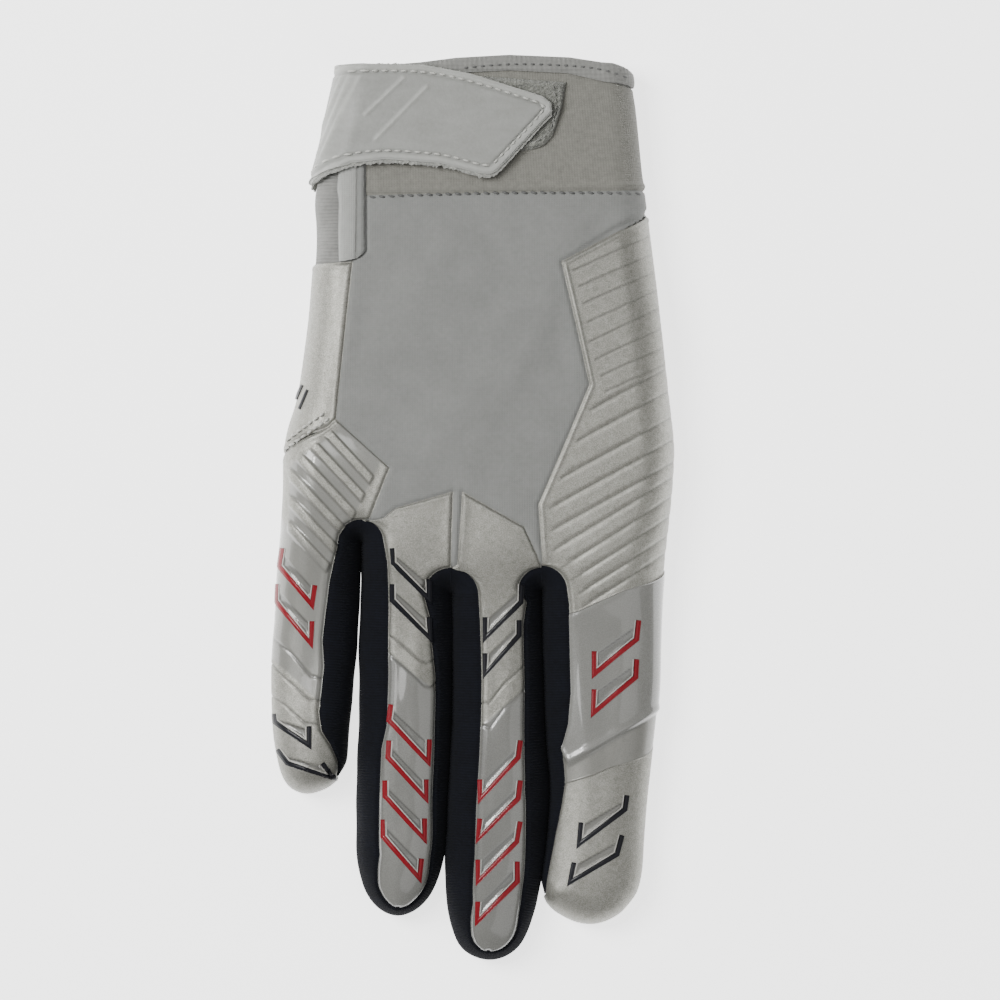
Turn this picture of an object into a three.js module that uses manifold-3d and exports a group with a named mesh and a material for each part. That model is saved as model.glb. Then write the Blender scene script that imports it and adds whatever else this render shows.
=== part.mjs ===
// A right-hand football receiver glove, lying palm down with its thumb folded under the palm.
// Millimetres. +X points to the index side, +Y to the cuff and +Z up. The floor is z = 0.

import * as THREE from "three";
import { mergeVertices } from "three/addons/utils/BufferGeometryUtils.js";
import Module from "manifold-3d";

// Driving dimensions

const gloveLength = 230;
const handWidth = 103;
const palmHeight = 18;
const fingerHeight = 14;
const fingertipHeight = 12.4;
const cuffHeight = 14.6;
const equatorHeight = 5.4;
const wall = 1.1;
const seamGap = 0.3;
const edgeRadius = 9;
const underEdgeRadius = 5;
const underSeamAngle = 55;
const crownDrop = 1.6;
const knuckleRise = 0.9;
const knuckleSpread = 11;

const ribHeight = 0.5;
const grooveDepth = 0.3;

const thumbLength = 68;
const thumbBaseWidth = 26;
const thumbTipWidth = 21;
const thumbHeight = 6.8;
const thumbHoleRadius = 8.5;
const thumbClearance = 0.3;
const thumbFall = 14;

const bindingThickness = 1.9;
const bindingProud = 0.5;
const gussetRecess = 0.4;
const ventBindingProud = 0.3;
const pipingProud = 0.9;
const patchThickness = 1.2;
const strapThickness = 1.3;
const strapUnderAngle = 35;

// The pattern grid

// Points of the pattern are given on a grid with x to the right and y down. The hand is gridWidth
// units wide and the glove gridLength units long, so each unit is a share of those two sizes.
const gridWidth = 405;
const gridLength = 903;
const gridMiddle = { x: 472.5, y: 506.5 };

const unitX = handWidth / gridWidth;
const unitY = gloveLength / gridLength;

function at(x, y) {
  return new THREE.Vector2((x - gridMiddle.x) * unitX, (gridMiddle.y - y) * unitY);
}

// The outline in four runs, each from one crotch between two fingers to the next. The first starts
// above the cuff on the little finger's side and the last ends above the cuff on the index side.
// Columns: x, y, roundness of the edge there as a share of edgeRadius.
const outlineRuns = {
  pinky: [
    [344, 30, 0.8], [340, 66, 0.8], [334, 100, 0.8], [324, 145, 0.8], [314, 184, 0.8], [311.5, 204, 0.8],
    [313, 226, 0.85], [313, 252, 0.9], [310, 290, 1], [306, 330, 1], [301, 370, 1], [295.5, 400, 1],
    [287, 428, 1], [282.5, 456, 1], [282, 490, 0.97], [280, 520, 0.95], [278, 550, 0.95], [275.5, 585, 0.95],
    [273.5, 620, 0.95], [271, 655, 0.95], [270, 690, 0.95], [271.5, 725, 0.95], [275, 752, 0.95],
    [281, 776, 0.93], [291, 789, 0.9], [307, 794, 0.9], [325, 789, 0.9], [338, 779, 0.9], [344, 763, 0.93],
    [346.5, 740, 0.95], [350, 705, 0.95], [353, 670, 0.95], [355.5, 640, 0.95], [358, 600, 0.97],
    [359.6, 560, 1], [360, 541, 1],
  ],
  ring: [
    [361.6, 541, 1], [361.8, 560, 1], [361.5, 600, 1.06], [360, 640, 1.12], [360, 690, 1.12],
    [359.5, 730, 1.12], [358, 770, 1.12], [357, 810, 1.12], [357.5, 850, 1.12], [361, 875, 1.1],
    [368, 894, 1.05], [381, 909, 1], [397, 915, 1], [413, 910, 1], [427, 897, 1.05], [436, 880, 1.1],
    [441.5, 860, 1.12], [445, 838, 1.12], [446.5, 800, 1.12], [449.5, 750, 1.12], [451.2, 700, 1.12],
    [451.2, 650, 1.08], [450.6, 615, 1], [450.2, 594, 1],
  ],
  middle: [
    [451.8, 594, 1], [452.2, 615, 1], [452.8, 650, 1.08], [452.8, 700, 1.12], [451.1, 750, 1.12],
    [448.1, 800, 1.12], [446.7, 838, 1.12], [446.3, 868, 1.12], [447.5, 895, 1.12], [451, 922, 1.08],
    [459, 943, 1.03], [471, 954, 1], [488, 959, 1], [504, 956, 1], [518, 946, 1.03], [527, 931, 1.08],
    [533, 912, 1.12], [537, 894, 1.12], [541.5, 872, 1.12], [546, 835, 1.12], [548.8, 790, 1.12],
    [545, 740, 1.12], [543, 680, 1.1], [541.6, 640, 1.05], [541, 610, 1], [540.9, 590, 1],
  ],
  index: [
    [542.5, 590, 1], [542.7, 610, 1.02], [543.3, 640, 1.08], [544.8, 700, 1.15], [546.8, 740, 1.2],
    [550.6, 782, 1.2], [548.2, 830, 1.2], [544, 864, 1.18], [542, 884, 1.1], [544, 898, 1.05],
    [551, 908, 1.05], [562, 916, 1.05], [577, 923, 1.05], [594, 925, 1.05], [611, 920, 1.05],
    [626, 909, 1.05], [637, 893, 1.08], [642.5, 872, 1.15], [645, 840, 1.2], [648, 800, 1.2],
    [652, 760, 1.2], [656.5, 720, 1.2], [659.5, 685, 1.18], [660.5, 645, 1.15], [662, 605, 1.12],
    [665, 565, 1.1], [669.5, 525, 1.05], [673, 490, 1], [675, 452, 1], [673, 425, 1], [670, 400, 1],
    [666, 365, 1], [661.5, 325, 1], [657, 285, 1], [652, 245, 1], [648, 213, 0.95], [645, 190, 0.9],
    [641, 155, 0.85], [637, 120, 0.8], [633, 88, 0.8], [629, 50, 0.8], [626, 30, 0.8],
  ],
};

// Curves

// A smooth curve through the rows (Catmull-Rom in every column), sampled about every step units of
// the pattern grid.
function smooth(rows, step) {
  const out = [];
  for (let i = 0; i < rows.length - 1; i++) {
    const a = rows[Math.max(i - 1, 0)];
    const b = rows[i];
    const c = rows[i + 1];
    const d = rows[Math.min(i + 2, rows.length - 1)];
    const count = Math.max(1, Math.round(Math.hypot(c[0] - b[0], c[1] - b[1]) / step));
    for (let k = 0; k < count; k++) {
      const t = k / count;
      out.push(
        b.map((v, j) => {
          const slopeIn = (c[j] - a[j]) / 2;
          const slopeOut = (d[j] - v) / 2;
          const cube = 2 * v - 2 * c[j] + slopeIn + slopeOut;
          const square = -3 * v + 3 * c[j] - 2 * slopeIn - slopeOut;
          return ((cube * t + square) * t + slopeIn) * t + v;
        }),
      );
    }
  }
  out.push(rows[rows.length - 1]);
  return out;
}

const outlineStep = 21;

// A run of the outline as samples with a place, the normal into the glove and the edge's radius.
function makeRun(rows) {
  const samples = smooth(rows, outlineStep).map(([x, y, roundness]) => ({
    place: at(x, y),
    radius: edgeRadius * roundness,
  }));
  samples.forEach((sample, i) => {
    const before = samples[Math.max(i - 1, 0)].place;
    const after = samples[Math.min(i + 1, samples.length - 1)].place;
    const along = after.clone().sub(before).normalize();
    sample.normal = new THREE.Vector2(-along.y, along.x);
  });
  return samples;
}

const runs = {
  pinky: makeRun(outlineRuns.pinky),
  ring: makeRun(outlineRuns.ring),
  middle: makeRun(outlineRuns.middle),
  index: makeRun(outlineRuns.index),
};
const allRuns = Object.values(runs);

// The nearest place of some runs to a point: its distance (negative outside the glove), the unit
// vector into the glove there and the edge's radius.
function nearestEdge(point, someRuns) {
  let best = { distance: Infinity };
  for (const run of someRuns) {
    for (let i = 0; i < run.length - 1; i++) {
      const a = run[i].place;
      const b = run[i + 1].place;
      const abx = b.x - a.x;
      const aby = b.y - a.y;
      const share = THREE.MathUtils.clamp(
        ((point.x - a.x) * abx + (point.y - a.y) * aby) / (abx * abx + aby * aby), 0, 1);
      const px = a.x + abx * share;
      const py = a.y + aby * share;
      const distance = Math.hypot(point.x - px, point.y - py);
      if (distance < best.distance) {
        const side = abx * (point.y - a.y) - aby * (point.x - a.x);
        best = { distance, side, run, i, share, place: new THREE.Vector2(px, py) };
      }
    }
  }
  const { run, i, share, place, distance } = best;
  const atEnd = (i === 0 && share === 0) || (i === run.length - 2 && share === 1);
  const sign = atEnd || best.side >= 0 ? 1 : -1;
  const normal = run[i].normal.clone().lerp(run[i + 1].normal, share).normalize();
  if (distance > 0.5) normal.subVectors(point, place).multiplyScalar(sign / distance);
  const radius = THREE.MathUtils.lerp(run[i].radius, run[i + 1].radius, share);
  return { place, normal, radius, distance: sign * distance };
}

// Heights

// Height of the back of the glove along its length. Columns: y on the grid, height.
const heightRows = [
  [30, cuffHeight],
  [130, cuffHeight],
  [215, THREE.MathUtils.lerp(cuffHeight, palmHeight, 0.4)],
  [320, palmHeight],
  [440, palmHeight],
  [540, THREE.MathUtils.lerp(fingerHeight, palmHeight, 0.6)],
  [640, fingerHeight],
  [760, fingerHeight],
  [960, fingertipHeight],
];

// Knuckles as soft rises of the back. Columns: x, y.
const knuckles = [[300, 500], [412, 545], [498, 540], [610, 560]];

const smoothHeights = smooth(heightRows, 8);

function alongHeight(y) {
  const gridY = gridMiddle.y - y / unitY;
  const i = smoothHeights.findIndex((row) => row[0] >= gridY);
  if (i === 0) return smoothHeights[0][1];
  if (i < 0) return smoothHeights[smoothHeights.length - 1][1];
  const [y0, h0] = smoothHeights[i - 1];
  const [y1, h1] = smoothHeights[i];
  return h0 + ((h1 - h0) * (gridY - y0)) / (y1 - y0);
}

function backHeight(x, y) {
  let height = alongHeight(y) - crownDrop * (x / (handWidth / 2)) ** 2;
  for (const [kx, ky] of knuckles) {
    const k = at(kx, ky);
    height += knuckleRise * Math.exp(-((x - k.x) ** 2 + (y - k.y) ** 2) / knuckleSpread ** 2);
  }
  return height;
}

// The folded thumb as a tapered capsule in plan.
const thumbBase = at(603, 336);
const thumbDirection = at(405, 478).sub(at(603, 336)).normalize();
const thumbAxisLength = thumbLength - thumbBaseWidth / 2 - thumbTipWidth / 2;
const thumbTip = thumbBase.clone().addScaledVector(thumbDirection, thumbAxisLength);

// Distance outside the thumb's plan outline, negative inside.
function thumbDistance(x, y) {
  const along = THREE.MathUtils.clamp(
    ((x - thumbBase.x) * thumbDirection.x + (y - thumbBase.y) * thumbDirection.y) / thumbAxisLength, 0, 1);
  const px = THREE.MathUtils.lerp(thumbBase.x, thumbTip.x, along);
  const py = THREE.MathUtils.lerp(thumbBase.y, thumbTip.y, along);
  return Math.hypot(x - px, y - py) - THREE.MathUtils.lerp(thumbBaseWidth, thumbTipWidth, along) / 2;
}

// The cuff's mouth rests on its thicker binding. Columns: grid heights where the lift starts and ends.
const mouthFall = { from: 92, to: 150 };

// The palm's underside lies on the floor and rises over the thumb.
function palmFloor(x, y) {
  const lift = 1 - THREE.MathUtils.smoothstep(thumbDistance(x, y), -underEdgeRadius / 2, thumbFall);
  const mouth = THREE.MathUtils.smoothstep(y, at(0, mouthFall.to).y, at(0, mouthFall.from).y);
  return (thumbHeight + thumbClearance) * lift + bindingProud * mouth;
}

const equatorShare = 0.6;

function equator(place) {
  return equatorHeight + equatorShare * palmFloor(place.x, place.y);
}

// The glove's surface

// A flat pattern point stands for a point of the glove. Deeper than the edge's radius it lies
// straight below or above that point. Nearer the edge its distance from the outline is an arc
// round the edge, and outside the outline it is an arc round to the other face.
const rightAngle = Math.PI / 2;

function edgePoint(edge, distance, offset, face) {
  const crosses = distance < 0;
  const onTop = face > 0 !== crosses;
  const radius = onTop ? edge.radius : underEdgeRadius;
  const angle = Math.min(Math.abs(distance) / radius, 1) * rightAngle;
  const inset = (radius + offset) * (1 - Math.cos(angle)) - offset;
  const flat = edge.place.clone().addScaledVector(edge.normal, inset);
  const middle = equator(edge.place);
  const reach = onTop ? backHeight(flat.x, flat.y) - middle : middle - palmFloor(flat.x, flat.y);
  const z = middle + (onTop ? 1 : -1) * (reach + offset) * Math.sin(angle);
  return new THREE.Vector3(flat.x, flat.y, z);
}

function surfacePoint(point, offset, face, someRuns) {
  const edge = nearestEdge(point, someRuns);
  const radius = face > 0 ? edge.radius : underEdgeRadius;
  if (edge.distance < radius) return edgePoint(edge, edge.distance, offset, face);
  const height = face > 0 ? backHeight(point.x, point.y) + offset : palmFloor(point.x, point.y) - offset;
  return new THREE.Vector3(point.x, point.y, height);
}

// How far side panels reach round the edge on the flat pattern, and where the palm panel starts.
const underReach = (underEdgeRadius * underSeamAngle) / 90;
const palmInset = underReach + seamGap;

// Sheets

// Rows of points between two lists of the same length, in steps from the first to the second.
function ladder(from, to, steps) {
  return from.map((a, i) =>
    Array.from({ length: steps + 1 }, (_, k) => a.clone().lerp(to[i], k / steps)));
}

// The index of the value that ends the step of a rising list which holds the target.
function segment(values, target) {
  const i = values.findIndex((value) => value >= target);
  return i < 0 ? values.length - 1 : Math.max(1, i);
}

// A list of points resampled to equal steps along its length.
function even(list, count) {
  const lengths = [0];
  for (let i = 1; i < list.length; i++) lengths.push(lengths[i - 1] + list[i].distanceTo(list[i - 1]));
  const total = lengths[lengths.length - 1];
  return Array.from({ length: count + 1 }, (_, k) => {
    const target = (total * k) / count;
    const i = segment(lengths, target);
    const span = lengths[i] - lengths[i - 1] || 1;
    return list[i - 1].clone().lerp(list[i], (target - lengths[i - 1]) / span);
  });
}

// One closed body from grids of outer and inner points. Points that coincide are shared, so grids
// may meet along a line, and every free edge gets a wall.
function sheetGeometry(grids) {
  const ids = new Map();
  const outer = [];
  const inner = [];
  const faces = [];
  const edges = new Set();
  const idOf = ([out, inn]) => {
    const key = out.toArray().map((v) => Math.round(v * 50)).join();
    if (!ids.has(key)) {
      ids.set(key, outer.length);
      outer.push(out);
      inner.push(inn);
    }
    return ids.get(key);
  };
  const face = (a, b, c) => {
    if (a === b || b === c || c === a) return;
    faces.push([a, b, c]);
    edges.add(`${a},${b}`).add(`${b},${c}`).add(`${c},${a}`);
  };
  for (const grid of grids) {
    const id = grid.map((row) => row.map(idOf));
    for (let i = 0; i < id.length - 1; i++) {
      for (let j = 0; j < id[i].length - 1; j++) {
        face(id[i][j], id[i + 1][j], id[i + 1][j + 1]);
        face(id[i][j], id[i + 1][j + 1], id[i][j + 1]);
      }
    }
  }
  const places = [...outer, ...inner].flatMap((p) => p.toArray());
  const shift = outer.length;
  const index = [];
  for (const [a, b, c] of faces) index.push(a, b, c, a + shift, c + shift, b + shift);
  for (const edge of edges) {
    const [a, b] = edge.split(",").map(Number);
    if (!edges.has(`${b},${a}`)) index.push(b, a, a + shift, b, a + shift, b + shift);
  }
  return turnedOut(places, index);
}

// An indexed geometry whose faces point out.
function turnedOut(places, index) {
  let volume = 0;
  const p = (i) => new THREE.Vector3().fromArray(places, 3 * i);
  for (let i = 0; i < index.length; i += 3) volume += p(index[i]).dot(p(index[i + 1]).cross(p(index[i + 2])));
  if (volume < 0) for (let i = 0; i < index.length; i += 3) index.splice(i, 2, index[i + 1], index[i]);
  const geometry = new THREE.BufferGeometry();
  geometry.setAttribute("position", new THREE.Float32BufferAttribute(places, 3));
  geometry.setIndex(index);
  geometry.computeVertexNormals();
  return geometry;
}

// Flat grids wound the same way, so that grids of one sheet agree.
function woundAlike(grid) {
  let area = 0;
  for (let i = 0; i < grid.length - 1; i++) {
    for (let j = 0; j < grid[i].length - 1; j++) {
      const diagonal = grid[i + 1][j + 1].clone().sub(grid[i][j]);
      const other = grid[i][j + 1].clone().sub(grid[i + 1][j]);
      area += diagonal.cross(other);
    }
  }
  return area < 0 ? grid.map((row) => [...row].reverse()) : grid;
}

// A panel of the glove from flat pattern grids, near the runs of someRuns. A point may name its own
// runs, and how far it stands out as its relief.
function panelGeometry(grids, { face = 1, someRuns = allRuns, proud = 0, thickness = wall }) {
  return sheetGeometry(grids.map((grid) => woundAlike(grid).map((row) => row.map((point) => {
    const near = point.someRuns ?? someRuns;
    return [
      surfacePoint(point, proud + (point.relief ?? 0), face, near),
      surfacePoint(point, proud - thickness, face, near),
    ];
  }))));
}

const glove = new THREE.Group();

function add(name, geometry, color, roughness) {
  const material = new THREE.MeshStandardMaterial({ color, roughness, metalness: 0, flatShading: true });
  const mesh = new THREE.Mesh(geometry, material);
  mesh.name = name;
  glove.add(mesh);
}

const knitGrey = 0x8b8c88;
const cuffGrey = 0x7f7e76;
const satinSilver = 0xa3a39c;
const glossGrey = 0xa09f9b;
const navyKnit = 0x14161f;
const palmGrey = 0xb9bab4;
const strapGrey = 0xa8aaa5;

// Fourchettes

// Width of the navy side walls seen from above, on each side of each finger. Columns: share of the
// way along the run, width in grid units.
const fourchetteWidths = {
  pinky: [
    [0.785, 3], [0.806, 14], [0.818, 25], [0.836, 30], [0.88, 29], [0.905, 33], [0.93, 31.5], [0.96, 29],
    [0.985, 24], [1, 21],
  ],
  ring: [
    [0, 21], [0.03, 25], [0.1, 27], [0.18, 28], [0.25, 26.5], [0.28, 22], [0.43, 21], [0.48, 12], [0.53, 7],
    [0.56, 6], [0.6, 7], [0.64, 11], [0.72, 13.5], [0.82, 15], [0.89, 15], [0.93, 18], [0.97, 20], [1, 26],
  ],
  middle: [
    [0, 26], [0.03, 27], [0.11, 28], [0.335, 28], [0.4, 24], [0.45, 14], [0.48, 8], [0.52, 7], [0.55, 9],
    [0.58, 12.5], [0.69, 20], [0.745, 23.5], [0.81, 20], [0.885, 17.5], [0.97, 18], [1, 24],
  ],
  index: [[0, 24], [0.012, 26], [0.08, 26], [0.105, 22], [0.125, 13], [0.15, 13], [0.19, 6], [0.228, 3]],
};

function tableValue(rows, share) {
  const i = segment(rows.map((row) => row[0]), share);
  const [s0, w0] = rows[i - 1];
  const [s1, w1] = rows[i];
  return w0 + ((w1 - w0) * THREE.MathUtils.clamp((share - s0) / (s1 - s0), 0, 1));
}

const crotchTurns = 4;

// The samples of a run that a side wall follows, with the turn round the crotch at its ends.
function sideWall(name) {
  const run = runs[name];
  const widths = fourchetteWidths[name];
  const first = widths[0][0];
  const last = widths[widths.length - 1][0];
  const length = [0];
  for (let i = 1; i < run.length; i++) length.push(length[i - 1] + run[i].place.distanceTo(run[i - 1].place));
  const total = length[length.length - 1];
  const samples = run
    .map((sample, i) => ({ ...sample, share: length[i] / total }))
    .filter((sample) => sample.share >= first - 1e-9 && sample.share <= last + 1e-9);
  const up = new THREE.Vector2(0, 1);
  const turned = (sample) =>
    Array.from({ length: crotchTurns }, (_, k) => {
      const angle = ((k + 1) / crotchTurns) * sample.normal.angleTo(up);
      const turn = sample.normal.cross(up) > 0 ? angle : -angle;
      return { ...sample, normal: sample.normal.clone().rotateAround(new THREE.Vector2(), turn) };
    });
  if (first === 0) samples.unshift(...turned(samples[0]).reverse());
  if (last === 1) samples.push(...turned(samples[samples.length - 1]));
  for (const sample of samples) {
    const width = tableValue(widths, sample.share) * unitX;
    sample.width = width;
    sample.topReach = (Math.acos(Math.max(0, 1 - width / sample.radius)) / rightAngle) * sample.radius;
  }
  return samples;
}

const sideWalls = {
  pinky: sideWall("pinky"),
  ring: sideWall("ring"),
  middle: sideWall("middle"),
  index: sideWall("index"),
};

for (const [name, samples] of Object.entries(sideWalls)) {
  const grid = samples.map((sample) =>
    [sample.topReach, sample.topReach / 2, 0, -underReach].map((distance) =>
      [edgePoint(sample, distance, 0, 1), edgePoint(sample, distance, -wall, 1)]));
  add(`${name}_fourchette`, sheetGeometry([grid]), navyKnit, 0.9);
}

// The line on the flat pattern where a back panel meets a side wall, in the side wall's order.
function backSeam(name) {
  return sideWalls[name].map((sample) =>
    sample.place.clone().addScaledVector(sample.normal, sample.topReach + seamGap));
}

// The flat pattern point for a place seen from above, where the edges are seen foreshortened.
function flatPoint(x, y, someRuns = allRuns) {
  const point = at(x, y);
  const edge = nearestEdge(point, someRuns);
  if (edge.distance <= 0 || edge.distance >= edge.radius) return point;
  const distance = (Math.acos(1 - edge.distance / edge.radius) / rightAngle) * edge.radius;
  return edge.place.clone().addScaledVector(edge.normal, distance);
}

function flatLine(rows, someRuns = allRuns) {
  return rows.map(([x, y]) => flatPoint(x, y, someRuns));
}

// A line moved to its left by a distance, mitred at its corners.
function beside(line, distance) {
  return line.map((point, i) => {
    const before = point.clone().sub(line[Math.max(i - 1, 0)]);
    const after = line[Math.min(i + 1, line.length - 1)].clone().sub(point);
    if (i === 0) before.copy(after);
    if (i === line.length - 1) after.copy(before);
    before.normalize();
    after.normalize();
    const mitre = before.clone().add(after).normalize();
    const stretch = 1 / Math.max(0.5, mitre.dot(before));
    return new THREE.Vector2(
      point.x - mitre.y * distance * stretch,
      point.y + mitre.x * distance * stretch,
    );
  });
}

function gridY(place) {
  return gridMiddle.y - place.y / unitY;
}

// The run's samples on the left or right side of its fingertip from one grid height down to another,
// with one more sample exactly at each of the two heights.
function stretch(name, fromY, toY, side) {
  const run = runs[name];
  const tip = run.reduce((best, sample, i) => (sample.place.y < run[best].place.y ? i : best), 0);
  const half = side === "left" ? run.slice(0, tip + 1) : run.slice(tip).reverse();
  const chosen = [];
  half.forEach((sample, i) => {
    const y = gridY(sample.place);
    const before = half[Math.max(i - 1, 0)];
    const beforeY = gridY(before.place);
    for (const limit of [fromY, toY]) {
      if (beforeY >= limit || limit >= y) continue;
      const share = (limit - beforeY) / (y - beforeY);
      chosen.push({
        place: before.place.clone().lerp(sample.place, share),
        normal: before.normal.clone().lerp(sample.normal, share).normalize(),
        radius: THREE.MathUtils.lerp(before.radius, sample.radius, share),
      });
    }
    if (y >= fromY && y <= toY) chosen.push(sample);
  });
  return chosen;
}

function outside(samples, reach = underReach) {
  return samples.map((sample) => sample.place.clone().addScaledVector(sample.normal, -reach));
}

// A line with extra points so that no step is longer than step.
function refine(line, step) {
  const out = [];
  for (let i = 0; i < line.length - 1; i++) {
    const count = Math.max(1, Math.round(line[i].distanceTo(line[i + 1]) / step));
    for (let k = 0; k < count; k++) out.push(line[i].clone().lerp(line[i + 1], k / count));
  }
  out.push(line[line.length - 1]);
  return out;
}

// Rows from every point of a border to the nearest point of an axis line. The border's two ends go
// to the axis line's top.
function aroundAxis(border, [top, bottom], steps) {
  const axis = bottom.clone().sub(top);
  const onAxis = border.map((point, i) => {
    if (i === 0 || i === border.length - 1) return top.clone();
    const share = THREE.MathUtils.clamp(point.clone().sub(top).dot(axis) / axis.lengthSq(), 0, 1);
    return top.clone().addScaledVector(axis, share);
  });
  return ladder(border, onAxis, steps);
}

// Rows that pass through several lines of the same length.
function ladderThrough(lines, steps) {
  return lines[0].map((_, j) =>
    lines.slice(1).flatMap((line, i) =>
      ladder([lines[i][j]], [line[j]], steps[i])[0].slice(i === 0 ? 0 : 1)));
}

const halfGap = seamGap / 2;
const bandGap = seamGap / unitY;
const sheetStep = 7;

// Seams of the back, as seen from above. Columns: x, y in grid units.
const seams = {
  vent: [[366, 194], [366, 257]],
  ulnar: [[353, 262], [336, 419], [390, 468], [370, 519]],
  ringTop: [[380, 521], [396, 508], [453.5, 491], [451, 565]],
  middleTop: [[457, 565], [462, 491], [524, 526.5], [539.5, 562]],
  indexEdge: [[542, 562], [538, 505], [566, 440], [589, 385], [579, 340], [561, 262], [646, 211]],
  doubleStitched: [[336, 419], [326, 413], [282.5, 450]],
};

const flatSeams = Object.fromEntries(Object.entries(seams).map(([name, rows]) => [name, flatLine(rows)]));

// Back panel

// Lines of the knit between the cuff seam and the lower seams. Columns: x on the cuff seam, then x
// and y of a point that the line bends at.
const knitGuides = [
  [366, 367.5, 250], [377, 374, 330], [405, 425, 440], [412, 428, 450], [420, 432, 456],
  [430, 440, 458], [450, 455, 470], [454, 456.5, 472], [457.5, 459, 472], [460, 460.5, 470.5],
  [500, 515, 470], [506, 530, 485], [509, 533, 485], [512, 533, 470], [525, 548, 400],
  [533, 560, 330], [536, 560, 290], [541, 548, 228],
  [645, 645.5, 200], [657, 657.5, 201],
];
const cuffSeam = { left: 196, right: 191 };
const sideTop = 211;

function cuffSeamY(x) {
  return THREE.MathUtils.mapLinear(x, 366, 645, cuffSeam.left, cuffSeam.right);
}

const backLower = [
  ...beside(flatSeams.ulnar, halfGap),
  ...beside(flatSeams.ringTop, halfGap),
  ...beside(flatSeams.middleTop, halfGap),
  ...beside(flatSeams.indexEdge, halfGap),
];
backLower.push(outside(stretch("index", sideTop - bandGap, sideTop + 10, "right"))[0]);
const backUpper = knitGuides.map(([x]) => flatPoint(x, cuffSeamY(x)).sub(new THREE.Vector2(0, halfGap)));
const backMiddle = knitGuides.map(([, x, y]) => flatPoint(x, y));

// Adds the same number of points between the matching points of several lines.
function refineAlike(lines, step) {
  const out = lines.map(() => []);
  for (let i = 0; i < lines[0].length - 1; i++) {
    const longest = Math.max(...lines.map((line) => line[i].distanceTo(line[i + 1])));
    const count = Math.max(1, Math.round(longest / step));
    for (let k = 0; k < count; k++) lines.forEach((line, j) => out[j].push(line[i].clone().lerp(line[i + 1], k / count)));
  }
  lines.forEach((line, j) => out[j].push(line[line.length - 1]));
  return out;
}

add("back_panel", panelGeometry(
  [ladderThrough(refineAlike([backUpper, backMiddle, backLower], 13), [4, 3])], {}), knitGrey, 0.85);

// Knuckle fans and finger strips

// A line with its longest steps halved until it has count points.
function withSplits(line, count) {
  const out = [...line];
  while (out.length < count) {
    let longest = 0;
    for (let i = 1; i < out.length - 1; i++) {
      const step = out[i].distanceTo(out[i + 1]);
      if (step > out[longest].distanceTo(out[longest + 1])) longest = i;
    }
    out.splice(longest + 1, 0, out[longest].clone().lerp(out[longest + 1], 0.5));
  }
  return out;
}

// Rows from a left to a right border. The first rows bow like the top border and the last like the
// bottom one.
function patch(left, right, top, bottom, steps) {
  const count = Math.max(left.length, right.length);
  const from = withSplits(left, count);
  const to = withSplits(right, count);
  const ends = [even(top, steps), even(bottom, steps)];
  return from.map((start, i) =>
    ends[0].map((_, k) => {
      const point = start.clone().lerp(to[i], k / steps);
      ends.forEach((end, side) => {
        const chord = end[0].clone().lerp(end[steps], k / steps);
        const share = Math.abs(1 - side - i / (count - 1));
        point.addScaledVector(end[k].clone().sub(chord), share ** 4);
      });
      return point;
    }));
}

const fingerBackSteps = 6;

// A finger's back from its fan's four corners, outer left to outer right, down both seams to the
// round end below the grid height roundFrom. The seam's first points belong to the next panel.
function fingerBack(name, corners, firstPoint, roundFrom) {
  const [outerLeft, upperLeft, upperRight, outerRight] = beside(corners, -halfGap);
  const seam = backSeam(name).slice(firstPoint);
  const heights = sideWalls[name].slice(firstPoint).map(({ place }) => gridY(place));
  const first = heights.findIndex((y) => y > roundFrom);
  const last = heights.findLastIndex((y) => y > roundFrom);
  return patch(
    [upperLeft, outerLeft, ...seam.slice(0, first + 1)],
    [upperRight, outerRight, ...seam.slice(last).reverse()],
    [upperLeft, upperRight],
    seam.slice(first, last + 1),
    fingerBackSteps,
  );
}

add("ring_finger_back", panelGeometry(
  [fingerBack("ring", flatSeams.ringTop, 2, 885)],
  { someRuns: [runs.ring, runs.pinky, runs.middle] }), satinSilver, 0.45);
add("middle_finger_back", panelGeometry(
  [fingerBack("middle", flatSeams.middleTop, 1, 930)],
  { someRuns: [runs.ring, runs.middle, runs.index] }), satinSilver, 0.45);

// Little finger's side

const ulnarTop = { left: [312, 268], right: [352, 263] };
const ulnarRows = 8;
const flatStitched = flatSeams.doubleStitched;
const ulnarOuter = even(outside(stretch("pinky", ulnarTop.left[1], 450, "left")), ulnarRows);
const ulnarInner = even(
  [...beside(flatLine([ulnarTop.right, seams.doubleStitched[0]]), halfGap)], ulnarRows);
const ulnarKnee = even(flatLine([[318, 267], seams.doubleStitched[1]]), ulnarRows);
ulnarInner[ulnarRows].copy(beside(flatStitched, halfGap)[0]);
ulnarInner.forEach((point, i) => point.add(new THREE.Vector2(-seamGap, i === ulnarRows ? seamGap : 0)));
ulnarKnee[ulnarRows].copy(beside([...flatStitched].reverse(), halfGap)[1]);
ulnarOuter[ulnarRows].y += halfGap;

add("ulnar_side_panel", panelGeometry(
  [ladderThrough([ulnarOuter, ulnarKnee, ulnarInner], [4, 2])], { someRuns: [runs.pinky] }), satinSilver, 0.5);

// Raised bars: each bar takes three rows, a foot and two rows of its top.
function withBars(grid, firstRow, lastRow, height) {
  for (let i = firstRow; i <= lastRow; i++) {
    for (let j = 1; j < grid[i].length - 1; j++) grid[i][j].relief = (i - firstRow) % 3 === 0 ? 0 : height;
  }
  return grid;
}

const pinkyBars = 7;
const pinkyBarRows = 3 * pinkyBars;
const pinkyTipRows = 9;

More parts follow.
